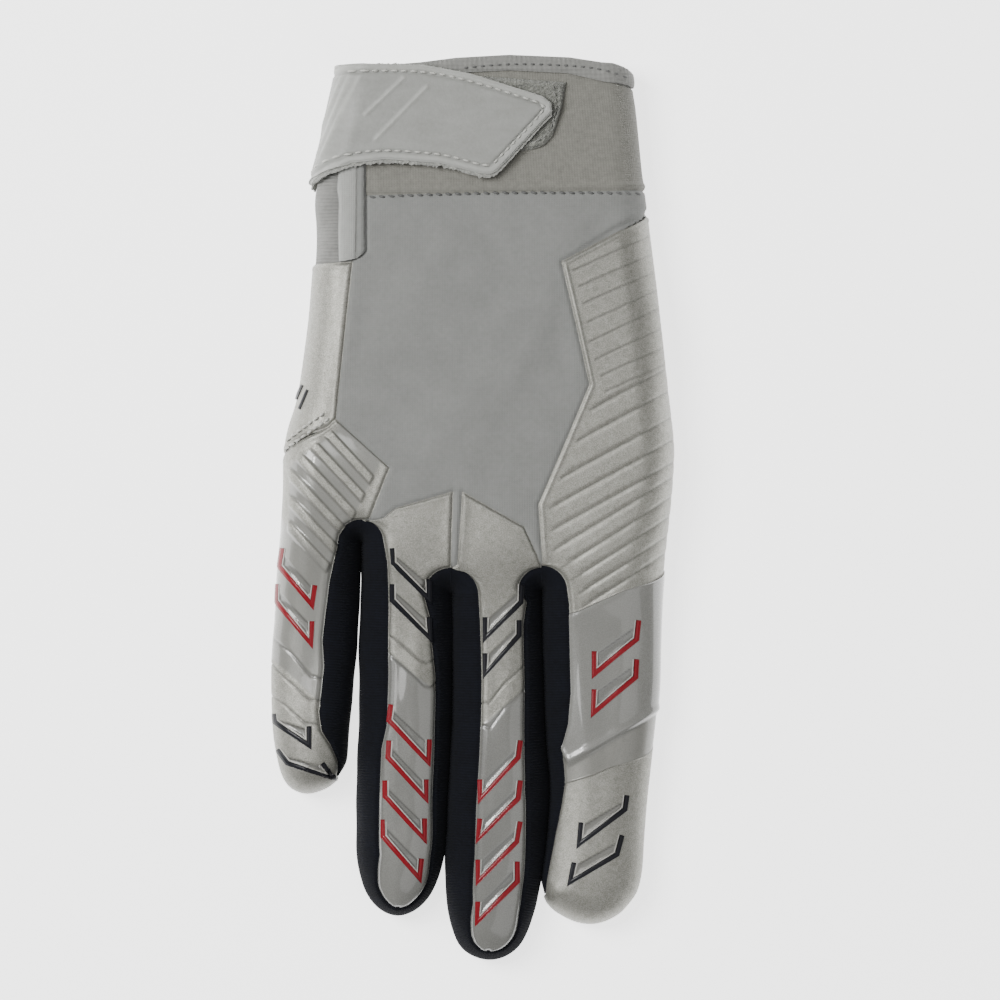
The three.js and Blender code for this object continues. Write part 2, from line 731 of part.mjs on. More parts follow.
const stitchedLower = beside(flatStitched, halfGap);
const pinkyInnerTop = beside(flatSeams.ulnar.slice(1), -halfGap);
const pinkyKnee = stitchedLower[1];
const pinkySeam = [...backSeam("ring").slice(0, 2).reverse(), ...backSeam("pinky").reverse()];
const pinkyOutside = outside(stretch("pinky", 462, 770, "left"));
const wallEnd = sideWalls.pinky[0].place;
const wallAlong = wallEnd.clone().sub(sideWalls.pinky[1].place).normalize();
const pinkyTipOutside = outside(runs.pinky.filter(({ place }, i, run) =>
  i > 0 && gridY(place) > 772 && gridY(run[i - 1].place) > 765
  && place.clone().sub(wallEnd).dot(wallAlong) > seamGap));
const tipClear = pinkySeam[pinkySeam.length - 1].clone().addScaledVector(wallAlong, 2 * seamGap);
const stitchedEnd = stitchedLower[2].clone().add(new THREE.Vector2(-underReach, -1));

const pinkyBarsFrom = even([pinkyInnerTop[0].clone().lerp(pinkyKnee, 0.5), pinkyKnee, stitchedEnd], pinkyBarRows);
const pinkyBarsTo = even(pinkyInnerTop, pinkyBarRows);
const pinkyFingerTo = [pinkyInnerTop[2], ...pinkySeam];
const pinkyFingerFrom = even([stitchedEnd, ...pinkyOutside], pinkyFingerTo.length - 1);
const pinkyTipFrom = even([pinkyOutside[pinkyOutside.length - 1], ...pinkyTipOutside], pinkyTipRows);
const pinkyTipTo = pinkyTipFrom.map((_, i) => (i === 0 ? pinkySeam[pinkySeam.length - 1] : tipClear));
const pinkySteps = 5;

add("pinky_back_panel", panelGeometry([
  withBars(ladder(pinkyBarsFrom, pinkyBarsTo, pinkySteps), 0, pinkyBarRows - 2, ribHeight),
  ladder(pinkyFingerFrom, pinkyFingerTo, pinkySteps),
  ladder(pinkyTipFrom, pinkyTipTo, pinkySteps).map((row) => row.map((point) => {
    point.someRuns = [runs.pinky];
    return point;
  })),
], { someRuns: [runs.pinky, runs.ring] }), satinSilver, 0.45);

// Index finger's side

const grooves = 8;
const indexBars = 14;
const indexSteps = 5;
const sideEnd = { left: 614, right: 565 };
const fingerEnd = { left: 784, right: 740 };

function seamBetween(name, fromY, toY) {
  const samples = sideWalls[name];
  return backSeam(name).filter((_, i) => {
    const y = gridMiddle.y - samples[i].place.y / unitY;
    return y >= fromY && y <= toY;
  });
}

const flatIndexEdge = beside(flatSeams.indexEdge, -halfGap);
const sideLeft = [...flatIndexEdge.slice(0, 6).reverse(), ...seamBetween("index", 0, sideEnd.left)];
const sideRight = outside(stretch("index", sideTop, sideEnd.right, "right"));
const sideRows = 3 * (grooves + indexBars);
const sideGrid = ladder(even(sideLeft, sideRows), even(sideRight, sideRows), indexSteps);
for (let i = 0; i < sideRows; i++) {
  for (let j = 1; j < indexSteps; j++) {
    const inGrooves = i < 3 * grooves;
    const foot = i % 3 === 0;
    sideGrid[i][j].relief = inGrooves ? (foot ? -grooveDepth : 0) : foot ? 0 : ribHeight;
  }
}
sideGrid[0].forEach((point) => { point.relief = 0; });

add("index_side_panel", panelGeometry([sideGrid], { someRuns: [runs.index] }), satinSilver, 0.45);

const down = new THREE.Vector2(0, -seamGap);
const indexBackLeft = [
  sideLeft[sideLeft.length - 1].clone().add(down), ...seamBetween("index", sideEnd.left + 8, fingerEnd.left)];
const indexBackRight = [
  sideRight[sideRight.length - 1].clone().add(down),
  ...outside(stretch("index", sideEnd.right + 8, fingerEnd.right, "right")),
];

add("index_finger_back", panelGeometry(
  [ladder(indexBackLeft, even(indexBackRight, indexBackLeft.length - 1), indexSteps)],
  { someRuns: [runs.index] }), glossGrey, 0.2);

const tipSeam = seamBetween("index", fingerEnd.left + 8, 1000);
const tipOutside = outside(runs.index.filter(({ place }) => {
  const x = place.x / unitX + gridMiddle.x;
  const y = gridMiddle.y - place.y / unitY;
  return y > fingerEnd.right + 8 && (x > 594 || y > 896);
}));
const tipStart = {
  left: indexBackLeft[indexBackLeft.length - 1].clone().add(down),
  right: indexBackRight[indexBackRight.length - 1].clone().addScaledVector(down, 2),
};
const tipRoundFrom = 905;
const roundFirst = tipOutside.findIndex((point) => gridY(point) > tipRoundFrom);
const roundLast = tipOutside.findLastIndex((point) => gridY(point) > tipRoundFrom);

add("index_fingertip", panelGeometry(
  [patch(
    [tipStart.left, ...tipSeam, ...tipOutside.slice(0, roundFirst + 1)],
    [tipStart.right, ...tipOutside.slice(roundLast).reverse()],
    [tipStart.left, tipStart.right],
    tipOutside.slice(roundFirst, roundLast + 1),
    fingerBackSteps,
  )],
  { someRuns: [runs.index] }), satinSilver, 0.4);

// Thumb

const thumbRadius = thumbHeight;
const thumbSteps = 3;
const thumbSides = 9;

// The thumb's outline at a distance inside its edge: two half circles joined by straight sides.
function thumbOutline(inset) {
  const side = new THREE.Vector2(-thumbDirection.y, thumbDirection.x);
  const cap = (centre, radius, start) =>
    Array.from({ length: thumbSides + 1 }, (_, k) => {
      const angle = start + (Math.PI * k) / thumbSides;
      return centre.clone()
        .addScaledVector(side, (radius - inset) * Math.cos(angle))
        .addScaledVector(thumbDirection, -(radius - inset) * Math.sin(angle));
    });
  const outline = [
    ...cap(thumbBase, thumbBaseWidth / 2, 0),
    ...cap(thumbTip, thumbTipWidth / 2, Math.PI),
  ];
  return [...outline, outline[0]];
}

// The thumb's faces as arcs from its edge, which is at half its height, to its flat middle.
function thumbHalf(face) {
  const half = thumbHeight / 2;
  const angles = [Math.asin(seamGap / thumbHeight), 0.5, 1, rightAngle];
  const ring = (angle, offset) => {
    const inset = -offset + (thumbRadius + offset) * (1 - Math.cos(angle));
    return thumbOutline(inset).map(({ x, y }) =>
      new THREE.Vector3(x, y, half + face * (half + offset) * Math.sin(angle)));
  };
  const outer = angles.map((angle) => ring(angle, 0));
  const inner = angles.map((angle) => ring(angle, -wall));
  const last = outer.length - 1;
  const axisPoint = (x, y, offset) => {
    const share = THREE.MathUtils.clamp(
      new THREE.Vector2(x, y).sub(thumbBase).dot(thumbDirection) / thumbAxisLength, 0, 1);
    const onAxis = thumbBase.clone().lerp(thumbTip, share);
    return new THREE.Vector3(onAxis.x, onAxis.y, half + face * (half + offset));
  };
  const grid = outer[0].map((_, i) => [
    ...outer.map((row, k) => [row[i], inner[k][i]]),
    [axisPoint(outer[last][i].x, outer[last][i].y, 0), axisPoint(outer[last][i].x, outer[last][i].y, -wall)],
  ]);
  return sheetGeometry([grid]);
}

// Palm

const palmLevels = [515, 480, 445, 420, 395, 355, 315, 288, 245];
const fingerTops = {
  pinky: { left: 560, right: 560 },
  ring: { left: 615, right: 615 },
  middle: { left: 615, right: 610 },
  index: { left: 610, right: 605 },
};
const fingerAxes = {
  pinky: [310, 760],
  ring: [404, 880],
  middle: [491, 922],
  index: [594, 880],
};
const palmFingerSteps = 2;
const palmLean = 0.12;

// Points beside the gap between two fingers get a place higher up the palm that leans away from the
// gap, the more the further down they are.
function leaned(list, crotch, way) {
  for (const point of list) {
    point.higherX = point.x + way * palmLean * Math.max(0, crotch.place.y - point.y);
  }
  return list;
}

const palmGrids = [];
const palmLower = [];
for (const [name, { left, right }] of Object.entries(fingerTops)) {
  const run = runs[name];
  const lowest = run.reduce((best, sample, i) => (sample.place.y < run[best].place.y ? i : best), 0);
  const start = run.findIndex((sample, i) => i <= lowest && gridY(sample.place) >= left - 1e-6);
  const end = run.findLastIndex((sample, i) => i >= lowest && gridY(sample.place) >= right - 1e-6);
  const inside = (sample) => sample.place.clone().addScaledVector(sample.normal, palmInset);
  const up = new THREE.Vector2(0, 1);
  const turned = (sample) =>
    [0.5, 1].map((share) => {
      const angle = share * sample.normal.angleTo(up) * (sample.normal.cross(up) > 0 ? 1 : -1);
      return inside({ ...sample, normal: sample.normal.clone().rotateAround(new THREE.Vector2(), angle) });
    });
  const border = run.slice(start, end + 1).map(inside);
  const top = border[0].clone().lerp(border[border.length - 1], 0.5);
  const grid = aroundAxis(even(border, 14), [top, at(...fingerAxes[name])], palmFingerSteps);
  palmGrids.push(grid);
  if (name !== "pinky") {
    palmLower.push(...turned(run[0]).reverse(), ...leaned(run.slice(0, start).map(inside), run[0], 1));
    leaned(grid[0].slice(0, 1), run[0], 1);
  }
  palmLower.push(...grid[0], ...[...grid[grid.length - 1]].reverse().slice(1));
  if (name !== "index") {
    const crotch = run[run.length - 1];
    leaned(palmLower.slice(-1), crotch, -1);
    palmLower.push(...leaned(run.slice(end + 1).map(inside), crotch, -1), ...turned(crotch));
  }
}

// Shares of the palm's width at the points of its lower border.
const palmEnds = [palmLower[0].x, palmLower[palmLower.length - 1].x];
const palmWidths = palmLower.map(({ x, higherX = x }) =>
  (higherX - palmEnds[0]) / (palmEnds[1] - palmEnds[0]));

// The palm's border on one side at a grid height.
function palmBorder(name, side, y) {
  const samples = stretch(name, 150, 600, side);
  const target = (gridMiddle.y - y) * unitY;
  const nearest = samples.reduce((best, sample) =>
    Math.abs(sample.place.y - target) < Math.abs(best.place.y - target) ? sample : best);
  const shift = (target - nearest.place.y) / (nearest.normal.x || 1);
  return new THREE.Vector2(nearest.place.x - nearest.normal.y * shift, target).addScaledVector(nearest.normal, palmInset);
}

function palmLine(y) {
  const left = palmBorder("pinky", "left", y);
  const right = palmBorder("index", "right", y);
  return palmWidths.map((share) => left.clone().lerp(right, share));
}

const palmTopY = 196;
const palmLines = [palmLower, ...palmLevels.map(palmLine), palmLine(palmTopY)];
palmGrids.push(ladderThrough(palmLines, palmLines.map(() => 1)));
const palmSheet = panelGeometry(palmGrids, { face: -1 });

// The thumb's way into the palm

const wasm = await Module();
wasm.setup();

function toSolid(geometry) {
  const bare = geometry.clone();
  bare.deleteAttribute("normal");
  bare.deleteAttribute("uv");
  const merged = mergeVertices(bare);
  return new wasm.Manifold(new wasm.Mesh({
    numProp: 3,
    vertProperties: merged.attributes.position.array,
    triVerts: new Uint32Array(merged.index.array),
  }));
}

function fromSolid(solid) {
  const { vertProperties, triVerts } = solid.getMesh();
  const geometry = new THREE.BufferGeometry();
  geometry.setAttribute("position", new THREE.BufferAttribute(vertProperties, 3));
  geometry.setIndex(new THREE.BufferAttribute(triVerts, 1));
  geometry.computeVertexNormals();
  return geometry;
}

const holeSides = 20;
const holeTurn = THREE.MathUtils.degToRad(9);
const shortestEdge = 0.02;

function thumbHole(fromZ, toZ) {
  const cutter = new THREE.CylinderGeometry(thumbHoleRadius, thumbHoleRadius, toZ - fromZ, holeSides);
  cutter.rotateX(rightAngle);
  cutter.rotateZ(holeTurn);
  cutter.translate(thumbBase.x, thumbBase.y, (fromZ + toZ) / 2);
  return toSolid(cutter);
}

function withHole(geometry, fromZ) {
  return fromSolid(toSolid(geometry).subtract(thumbHole(fromZ, palmHeight)).simplify(shortestEdge));
}

add("palm_panel", withHole(palmSheet, thumbHeight), palmGrey, 0.7);
add("thumb_back", thumbHalf(-1), satinSilver, 0.5);
add("thumb_front", withHole(thumbHalf(1), thumbHeight / 2 + wall), palmGrey, 0.7);

// Cuff

const ventEdge = 366;
const hemRows = [[330, 84], [430, 75], [513, 71], [572, 76], [633, 87]];
const mouthRows = [[330, 70], [422, 63], [458, 58.5], [513, 55.5], [575, 58], [615, 64], [634, 73]];

// The height of a line at x. Columns of its rows: x, y in grid units.
function lineY(rows, x) {
  const clamped = THREE.MathUtils.clamp(x, rows[0][0], rows[rows.length - 1][0]);
  const i = segment(rows.map((row) => row[0]), clamped);
  return THREE.MathUtils.mapLinear(clamped, rows[i - 1][0], rows[i][0], rows[i - 1][1], rows[i][1]);
}

// Columns of the cuff's bands as shares of the way across the back and across the palm side, closer
// together where they turn round the edges.
const cuffOver = [0, 0.15, 0.3, 0.45, 0.6, 0.75, 0.87, 0.94, 0.98, 1];
const cuffUnder = [0, 0.02, 0.05, 0.2, 0.4, 0.6, 0.8, 0.95, 1];

function edgeX(name, side, y) {
  const samples = stretch(name, 0, 300, side);
  const i = segment(samples.map((sample) => gridY(sample.place)), y);
  const [a, b] = [samples[i - 1], samples[i]];
  const target = (gridMiddle.y - y) * unitY;
  const share = (target - a.place.y) / (b.place.y - a.place.y || 1);
  return THREE.MathUtils.lerp(a.place.x, b.place.x, share) / unitX + gridMiddle.x;
}

// A band round the cuff between two lines, from the vent over the index edge and under to the
// little finger's edge.
function band(lowerY, upperY, rows, proud, thickness) {
  const side = (face) => {
    const shares = face > 0 ? cuffOver : cuffUnder;
    return Array.from({ length: rows + 1 }, (_, i) => {
      const share = i / rows;
      return shares.map((across) => {
        const guess = THREE.MathUtils.lerp(ventEdge, 637, face > 0 ? across : 1 - across);
        const y = THREE.MathUtils.lerp(lowerY(guess), upperY(guess), share);
        const right = edgeX("index", "right", y);
        const left = face > 0 ? ventEdge : edgeX("pinky", "left", y) + palmInset / unitX;
        const x = face > 0
          ? THREE.MathUtils.lerp(left, right, across)
          : THREE.MathUtils.lerp(right, left, across);
        const point = at(x, y);
        return [surfacePoint(point, proud, face, allRuns), surfacePoint(point, proud - thickness, face, allRuns)];
      });
    });
  };
  const over = side(1);
  const under = side(-1);
  return sheetGeometry([over.map((row, i) => [...row, ...under[i].slice(1)])]);
}

add("cuff_band", band(
  (x) => cuffSeamY(x) - bandGap / 2, (x) => lineY(hemRows, x) + bandGap / 2, 4, 0, wall), cuffGrey, 0.9);
add("cuff_binding", band(
  (x) => lineY(hemRows, x) - bandGap / 2, (x) => lineY(mouthRows, x), 1, bindingProud, bindingThickness),
cuffGrey, 0.85);

// Wrist vent

const ventTop = 72;
const ventBottom = 247;
const ventRows = 7;

const gussetOuter = even(outside(stretch("pinky", ventTop, ulnarTop.left[1] - 3, "left")), ventRows);
const gussetInner = even(flatLine([[345, ventTop], [338, 130], [331, 190], [331, ulnarTop.left[1] - 5]]), ventRows);
add("vent_gusset", panelGeometry([ladder(gussetOuter, gussetInner, 4)], {
  someRuns: [runs.pinky], proud: -gussetRecess }), cuffGrey, 0.9);

function ventStrip(leftRows, rightRows, options) {
  const left = even(flatLine(leftRows), ventRows);
  const right = even(flatLine(rightRows), ventRows);
  return panelGeometry([ladder(left, right, 4).map((row) => row.map((point, k) => {
    point.relief = (options.crown ?? 0) * Math.sin((Math.PI * k) / 4);
    return point;
  }))], options);
}

add("vent_binding", ventStrip(
  [[350, ventTop], [343, 130], [338, 190], [340, ventBottom]],
  [[355.5, ventTop], [355.5, 130], [355, 190], [355, ventBottom]],
  { proud: ventBindingProud }), satinSilver, 0.8);
add("vent_piping", ventStrip(
  [[356.7, ventTop], [356.7, 130], [356.2, 190], [356.2, ventBottom]],
  [[364.5, ventTop], [364.5, 130], [364.5, 190], [364.5, ventBottom]],
  { proud: 0, crown: pipingProud }), knitGrey, 0.85);

// Wrist strap

const patchUpper = [[455, 80], [485, 80], [571, 84]];
const patchLower = [[455, 160], [533, 150], [546, 146], [556, 136], [566, 107]];
add("loop_patch", panelGeometry(
  [ladder(even(flatLine(patchUpper), 6), even(flatLine(patchLower), 6), 4)],
  { proud: seamGap + patchThickness, thickness: patchThickness }), cuffGrey, 1);

const strapUpper = [[350, 66], [365, 64.5], [422, 65.5], [470, 74.5], [542, 97], [551, 106]];
const strapLower = [[322, 178], [350, 164], [386, 160], [440, 164], [479, 174], [497, 173], [552, 113]];
const strapReach = (underEdgeRadius * strapUnderAngle) / 90;
const strapColumns = 18;
const strapRows = 4;
const strapLift = seamGap + patchThickness + seamGap;
const strapRise = { from: 0.5, to: 6.5 };

const strapEnd = outside(stretch("pinky", 72, 184, "left"), strapReach);
const strapTopLine = even([strapEnd[0], ...flatLine(strapUpper)], strapColumns);
const strapBottomLine = even([strapEnd[strapEnd.length - 1], ...flatLine(strapLower)], strapColumns);

function strapRelief(point) {
  const { distance } = nearestEdge(point, [runs.pinky]);
  return (strapLift - seamGap) * THREE.MathUtils.smoothstep(distance, strapRise.from, strapRise.to);
}

const strapGrid = ladder(strapTopLine, strapBottomLine, strapRows);
add("wrist_strap", sheetGeometry([strapGrid.map((row) => row.map((point) => {
  const lift = seamGap + strapRelief(point);
  return [surfacePoint(point, lift + strapThickness, 1, allRuns), surfacePoint(point, lift, 1, allRuns)];
}))]), strapGrey, 0.6);

export default glove;
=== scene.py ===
import math

import bpy
import numpy as np
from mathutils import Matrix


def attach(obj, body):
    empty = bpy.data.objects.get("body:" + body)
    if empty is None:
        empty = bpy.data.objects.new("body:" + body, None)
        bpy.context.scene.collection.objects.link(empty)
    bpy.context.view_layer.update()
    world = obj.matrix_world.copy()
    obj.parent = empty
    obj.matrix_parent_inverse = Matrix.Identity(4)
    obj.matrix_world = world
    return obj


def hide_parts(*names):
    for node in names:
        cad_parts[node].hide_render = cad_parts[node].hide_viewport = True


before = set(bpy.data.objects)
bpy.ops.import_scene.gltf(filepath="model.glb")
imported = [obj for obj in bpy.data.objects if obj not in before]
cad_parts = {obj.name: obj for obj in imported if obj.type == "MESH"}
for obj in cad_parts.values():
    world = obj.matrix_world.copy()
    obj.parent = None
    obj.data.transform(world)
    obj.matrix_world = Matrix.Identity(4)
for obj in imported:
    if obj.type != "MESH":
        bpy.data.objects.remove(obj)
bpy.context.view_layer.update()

# Camera, floor and light. The glove lies palm down on a pale floor and is seen from straight above
# in soft light that comes a little from the left.

FRAME_WIDTH = 0.2545
FRAME_CENTRE = (0.00699, 0.00166)
CAMERA_HEIGHT = 2.5
FOCUS_HEIGHT = 0.012
SENSOR = 36
FLOOR_HALF = 3
FLOOR_GAP = 0.0002

camera_data = bpy.data.cameras.new("camera")
camera_data.sensor_width = SENSOR
camera_data.lens = SENSOR * (CAMERA_HEIGHT - FOCUS_HEIGHT) / FRAME_WIDTH
camera = bpy.data.objects.new("camera", camera_data)
camera.location = (*FRAME_CENTRE, CAMERA_HEIGHT)
bpy.context.scene.collection.objects.link(camera)
bpy.context.scene.camera = camera


def shader(name):
    """A new material and its node tree, links and principled shader."""
    material = bpy.data.materials.new(name)
    material.use_nodes = True
    tree = material.node_tree
    return material, tree, tree.links, tree.nodes["Principled BSDF"]


floor_material, _, _, floor_shader = shader("floor paper")
floor_shader.inputs["Base Color"].default_value = (0.93, 0.93, 0.925, 1)
floor_shader.inputs["Roughness"].default_value = 0.9
floor_shader.inputs["Emission Color"].default_value = (1, 1, 1, 1)
floor_shader.inputs["Emission Strength"].default_value = 2.2
floor_mesh = bpy.data.meshes.new("floor")
floor_corners = [(x * FLOOR_HALF, y * FLOOR_HALF, 0) for x, y in ((-1, -1), (1, -1), (1, 1), (-1, 1))]
floor_mesh.from_pydata(floor_corners, [], [(0, 1, 2, 3)])
floor_mesh.materials.append(floor_material)
floor = bpy.data.objects.new("floor", floor_mesh)
floor.location.z = -FLOOR_GAP
bpy.context.scene.collection.objects.link(floor)

world = bpy.data.worlds.new("soft room")
world.use_nodes = True
world.node_tree.nodes["Background"].inputs["Color"].default_value = (1, 1, 1, 1)
world.node_tree.nodes["Background"].inputs["Strength"].default_value = 0.33
bpy.context.scene.world = world


def area_light(name, place, size, watts):
    """A square soft light at place that points at the glove's middle."""
    data = bpy.data.lights.new(name, "AREA")
    data.size = size
    data.energy = watts
    light = bpy.data.objects.new(name, data)
    light.location = place
    x, y, z = place
    light.rotation_euler = (math.atan2(math.hypot(x, y), z), 0, math.atan2(y, x) + math.pi / 2)
    bpy.context.scene.collection.objects.link(light)


area_light("window", (-0.75, 0.35, 0.95), 0.55, 17)
area_light("fill", (0.8, -0.5, 1.4), 1.2, 4)
area_light("lamp", (-0.42, 0.16, 1.1), 0.12, 3)
area_light("skylight", (-0.4, 0.12, 2.3), 0.42, 3)

# Back panel. Real piece: one sheet of smooth four-way stretch knit over the back of the hand, sewn
# to the cuff, the side panels and the knuckle fans. The shape is the glove's surface, which the
# other panels share: lines on a flat pattern are rolled round the edges of the hand and fingers.

UNIT = np.array([0.103 / 405, -0.230 / 903])
MIDDLE = np.array([472.5, 506.5])
WALL = 0.0011
EDGE_RADIUS = 0.009
UNDER_RADIUS = 0.005
UNDER_REACH = UNDER_RADIUS * 55 / 90
EQUATOR = 0.0054
CROWN_DROP = 0.0016
HALF_WIDTH = 0.0515
KNUCKLES = [(300, 500), (412, 545), (498, 540), (610, 560)]
KNUCKLE_RISE = 0.0009
KNUCKLE_SPREAD = 0.011

OUTLINE_STEP = 5
HEIGHT_STEP = 4

# Height of the back along the glove. Columns: y on the grid, height.
HEIGHTS = [
    (30, 0.0146), (130, 0.0146), (215, 0.01596), (320, 0.018), (440, 0.018), (540, 0.0164), (640, 0.014),
    (760, 0.014), (960, 0.0124),
]

# The outline in four runs between the crotches. Columns: x, y, roundness of the edge.
OUTLINE = {
    "pinky": [
        (344, 30, 0.8), (340, 66, 0.8), (334, 100, 0.8), (324, 145, 0.8), (314, 184, 0.8), (311.5, 204, 0.8),
        (313, 226, 0.85), (313, 252, 0.9), (310, 290, 1), (306, 330, 1), (301, 370, 1), (295.5, 400, 1),
        (287, 428, 1), (282.5, 456, 1), (282, 490, 0.97), (280, 520, 0.95), (278, 550, 0.95),
        (275.5, 585, 0.95), (273.5, 620, 0.95), (271, 655, 0.95), (270, 690, 0.95), (271.5, 725, 0.95),
        (275, 752, 0.95), (281, 776, 0.93), (291, 789, 0.9), (307, 794, 0.9), (325, 789, 0.9), (338, 779, 0.9),
        (344, 763, 0.93), (346.5, 740, 0.95), (350, 705, 0.95), (353, 670, 0.95), (355.5, 640, 0.95),
        (358, 600, 0.97), (359.6, 560, 1), (360, 541, 1),
    ],
    "ring": [
        (361.6, 541, 1), (361.8, 560, 1), (361.5, 600, 1.06), (360, 640, 1.12), (360, 690, 1.12),
        (359.5, 730, 1.12), (358, 770, 1.12), (357, 810, 1.12), (357.5, 850, 1.12), (361, 875, 1.1),
        (368, 894, 1.05), (381, 909, 1), (397, 915, 1), (413, 910, 1), (427, 897, 1.05), (436, 880, 1.1),
        (441.5, 860, 1.12), (445, 838, 1.12), (446.5, 800, 1.12), (449.5, 750, 1.12), (451.2, 700, 1.12),
        (451.2, 650, 1.08), (450.6, 615, 1), (450.2, 594, 1),
    ],
    "middle": [
        (451.8, 594, 1), (452.2, 615, 1), (452.8, 650, 1.08), (452.8, 700, 1.12), (451.1, 750, 1.12),
        (448.1, 800, 1.12), (446.7, 838, 1.12), (446.3, 868, 1.12), (447.5, 895, 1.12), (451, 922, 1.08),
        (459, 943, 1.03), (471, 954, 1), (488, 959, 1), (504, 956, 1), (518, 946, 1.03), (527, 931, 1.08),
        (533, 912, 1.12), (537, 894, 1.12), (541.5, 872, 1.12), (546, 835, 1.12), (548.8, 790, 1.12),
        (545, 740, 1.12), (543, 680, 1.1), (541.6, 640, 1.05), (541, 610, 1), (540.9, 590, 1),
    ],
    "index": [
        (542.5, 590, 1), (542.7, 610, 1.02), (543.3, 640, 1.08), (544.8, 700, 1.15), (546.8, 740, 1.2),
        (550.6, 782, 1.2), (548.2, 830, 1.2), (544, 864, 1.18), (542, 884, 1.1), (544, 898, 1.05),
        (551, 908, 1.05), (562, 916, 1.05), (577, 923, 1.05), (594, 925, 1.05), (611, 920, 1.05),
        (626, 909, 1.05), (637, 893, 1.08), (642.5, 872, 1.15), (645, 840, 1.2), (648, 800, 1.2),
        (652, 760, 1.2), (656.5, 720, 1.2), (659.5, 685, 1.18), (660.5, 645, 1.15), (662, 605, 1.12),
        (665, 565, 1.1), (669.5, 525, 1.05), (673, 490, 1), (675, 452, 1), (673, 425, 1), (670, 400, 1),
        (666, 365, 1), (661.5, 325, 1), (657, 285, 1), (652, 245, 1), (648, 213, 0.95), (645, 190, 0.9),
        (641, 155, 0.85), (637, 120, 0.8), (633, 88, 0.8), (629, 50, 0.8), (626, 30, 0.8),
    ],
}


def plan(grid):
    """Metres in plan from pattern grid places: (grid - MIDDLE) * UNIT."""
    return (np.asarray(grid, float) - MIDDLE) * UNIT


def grid_of(xy):
    """Pattern grid places from metres in plan: xy / UNIT + MIDDLE."""
    return np.asarray(xy, float)[..., :2] / UNIT + MIDDLE


def smooth(rows, step):
    """A Catmull-Rom curve through the rows, sampled about every step of its first two columns."""
    rows = np.asarray(rows, float)
    out = []
    for i in range(len(rows) - 1):
        a, b, c = rows[max(i - 1, 0)], rows[i], rows[i + 1]
        d = rows[min(i + 2, len(rows) - 1)]
        count = max(1, round(float(np.hypot(*(c - b)[:2])) / step))
        t = (np.arange(count) / count)[:, None]
        ma, mb = (c - a) / 2, (d - b) / 2
        out.append(((2 * b - 2 * c + ma + mb) * t + (3 * c - 3 * b - 2 * ma - mb)) * t * t + ma * t + b)
    return np.vstack([*out, rows[-1:]])


def unit_vector(v):
    """v / |v| along the last axis."""
    return v / np.maximum(np.linalg.norm(v, axis=-1, keepdims=True), 1e-12)


def make_run(rows):
    """The outline's places, unit normals into the glove and edge radii."""
    samples = smooth(rows, OUTLINE_STEP)
    place = plan(samples[:, :2])
    along = unit_vector(np.gradient(place, axis=0))
    normal = np.stack([-along[:, 1], along[:, 0]], -1)
    return {"place": place, "normal": normal, "radius": EDGE_RADIUS * samples[:, 2]}


RUNS = {name: make_run(rows) for name, rows in OUTLINE.items()}
SMOOTH_HEIGHTS = smooth(HEIGHTS, HEIGHT_STEP)


def smoothstep(x, low, high):
    """3t^2 - 2t^3 with t = (x - low) / (high - low) held between 0 and 1."""
    t = np.clip((x - low) / (high - low), 0, 1)
    return t * t * (3 - 2 * t)


def bell(x, width):
    """exp(-(x / width)^2): 1 at 0 and almost 0 from twice the width on."""
    return np.exp(-((x / width) ** 2))


def back_height(xy):
    """Height of the back: by the length, less CROWN_DROP (x / HALF_WIDTH)^2, plus the knuckles."""
    grid = grid_of(xy)
    height = np.interp(grid[..., 1], SMOOTH_HEIGHTS[:, 0], SMOOTH_HEIGHTS[:, 1])
    height = height - CROWN_DROP * (xy[..., 0] / HALF_WIDTH) ** 2
    for knuckle in KNUCKLES:
        off = xy - plan(knuckle)
        height = height + KNUCKLE_RISE * np.exp(-(off**2).sum(-1) / KNUCKLE_SPREAD**2)
    return height


THUMB_BASE = plan((603, 336))
THUMB_ALONG = unit_vector(plan((405, 478)) - THUMB_BASE)
THUMB_WIDTHS = (0.026, 0.021)
THUMB_AXIS = 0.068 - sum(THUMB_WIDTHS) / 2
THUMB_HEIGHT = 0.0068
THUMB_GAP = 0.0003
THUMB_SPREAD = 0.014
MOUTH_LIFT = 0.0005
MOUTH_FROM, MOUTH_TO = plan((0, 150))[1], plan((0, 92))[1]
PALM_SHARE = 0.6


def thumb_distance(xy):
    """Distance outside the folded thumb's outline, which is a tapered capsule in plan."""
    t = np.clip(((xy - THUMB_BASE) @ THUMB_ALONG) / THUMB_AXIS, 0, 1)
    axis = THUMB_BASE + THUMB_ALONG * (t * THUMB_AXIS)[..., None]
    return np.linalg.norm(xy - axis, axis=-1) - (THUMB_WIDTHS[0] * (1 - t) + THUMB_WIDTHS[1] * t) / 2


def palm_floor(xy):
    """Height of the palm's underside: over the thumb, and a little up at the cuff's binding."""
    lift = 1 - smoothstep(thumb_distance(xy), -UNDER_RADIUS / 2, THUMB_SPREAD)
    mouth = smoothstep(xy[..., 1], MOUTH_FROM, MOUTH_TO)
    return (THUMB_HEIGHT + THUMB_GAP) * lift + MOUTH_LIFT * mouth


CHUNK = 20000


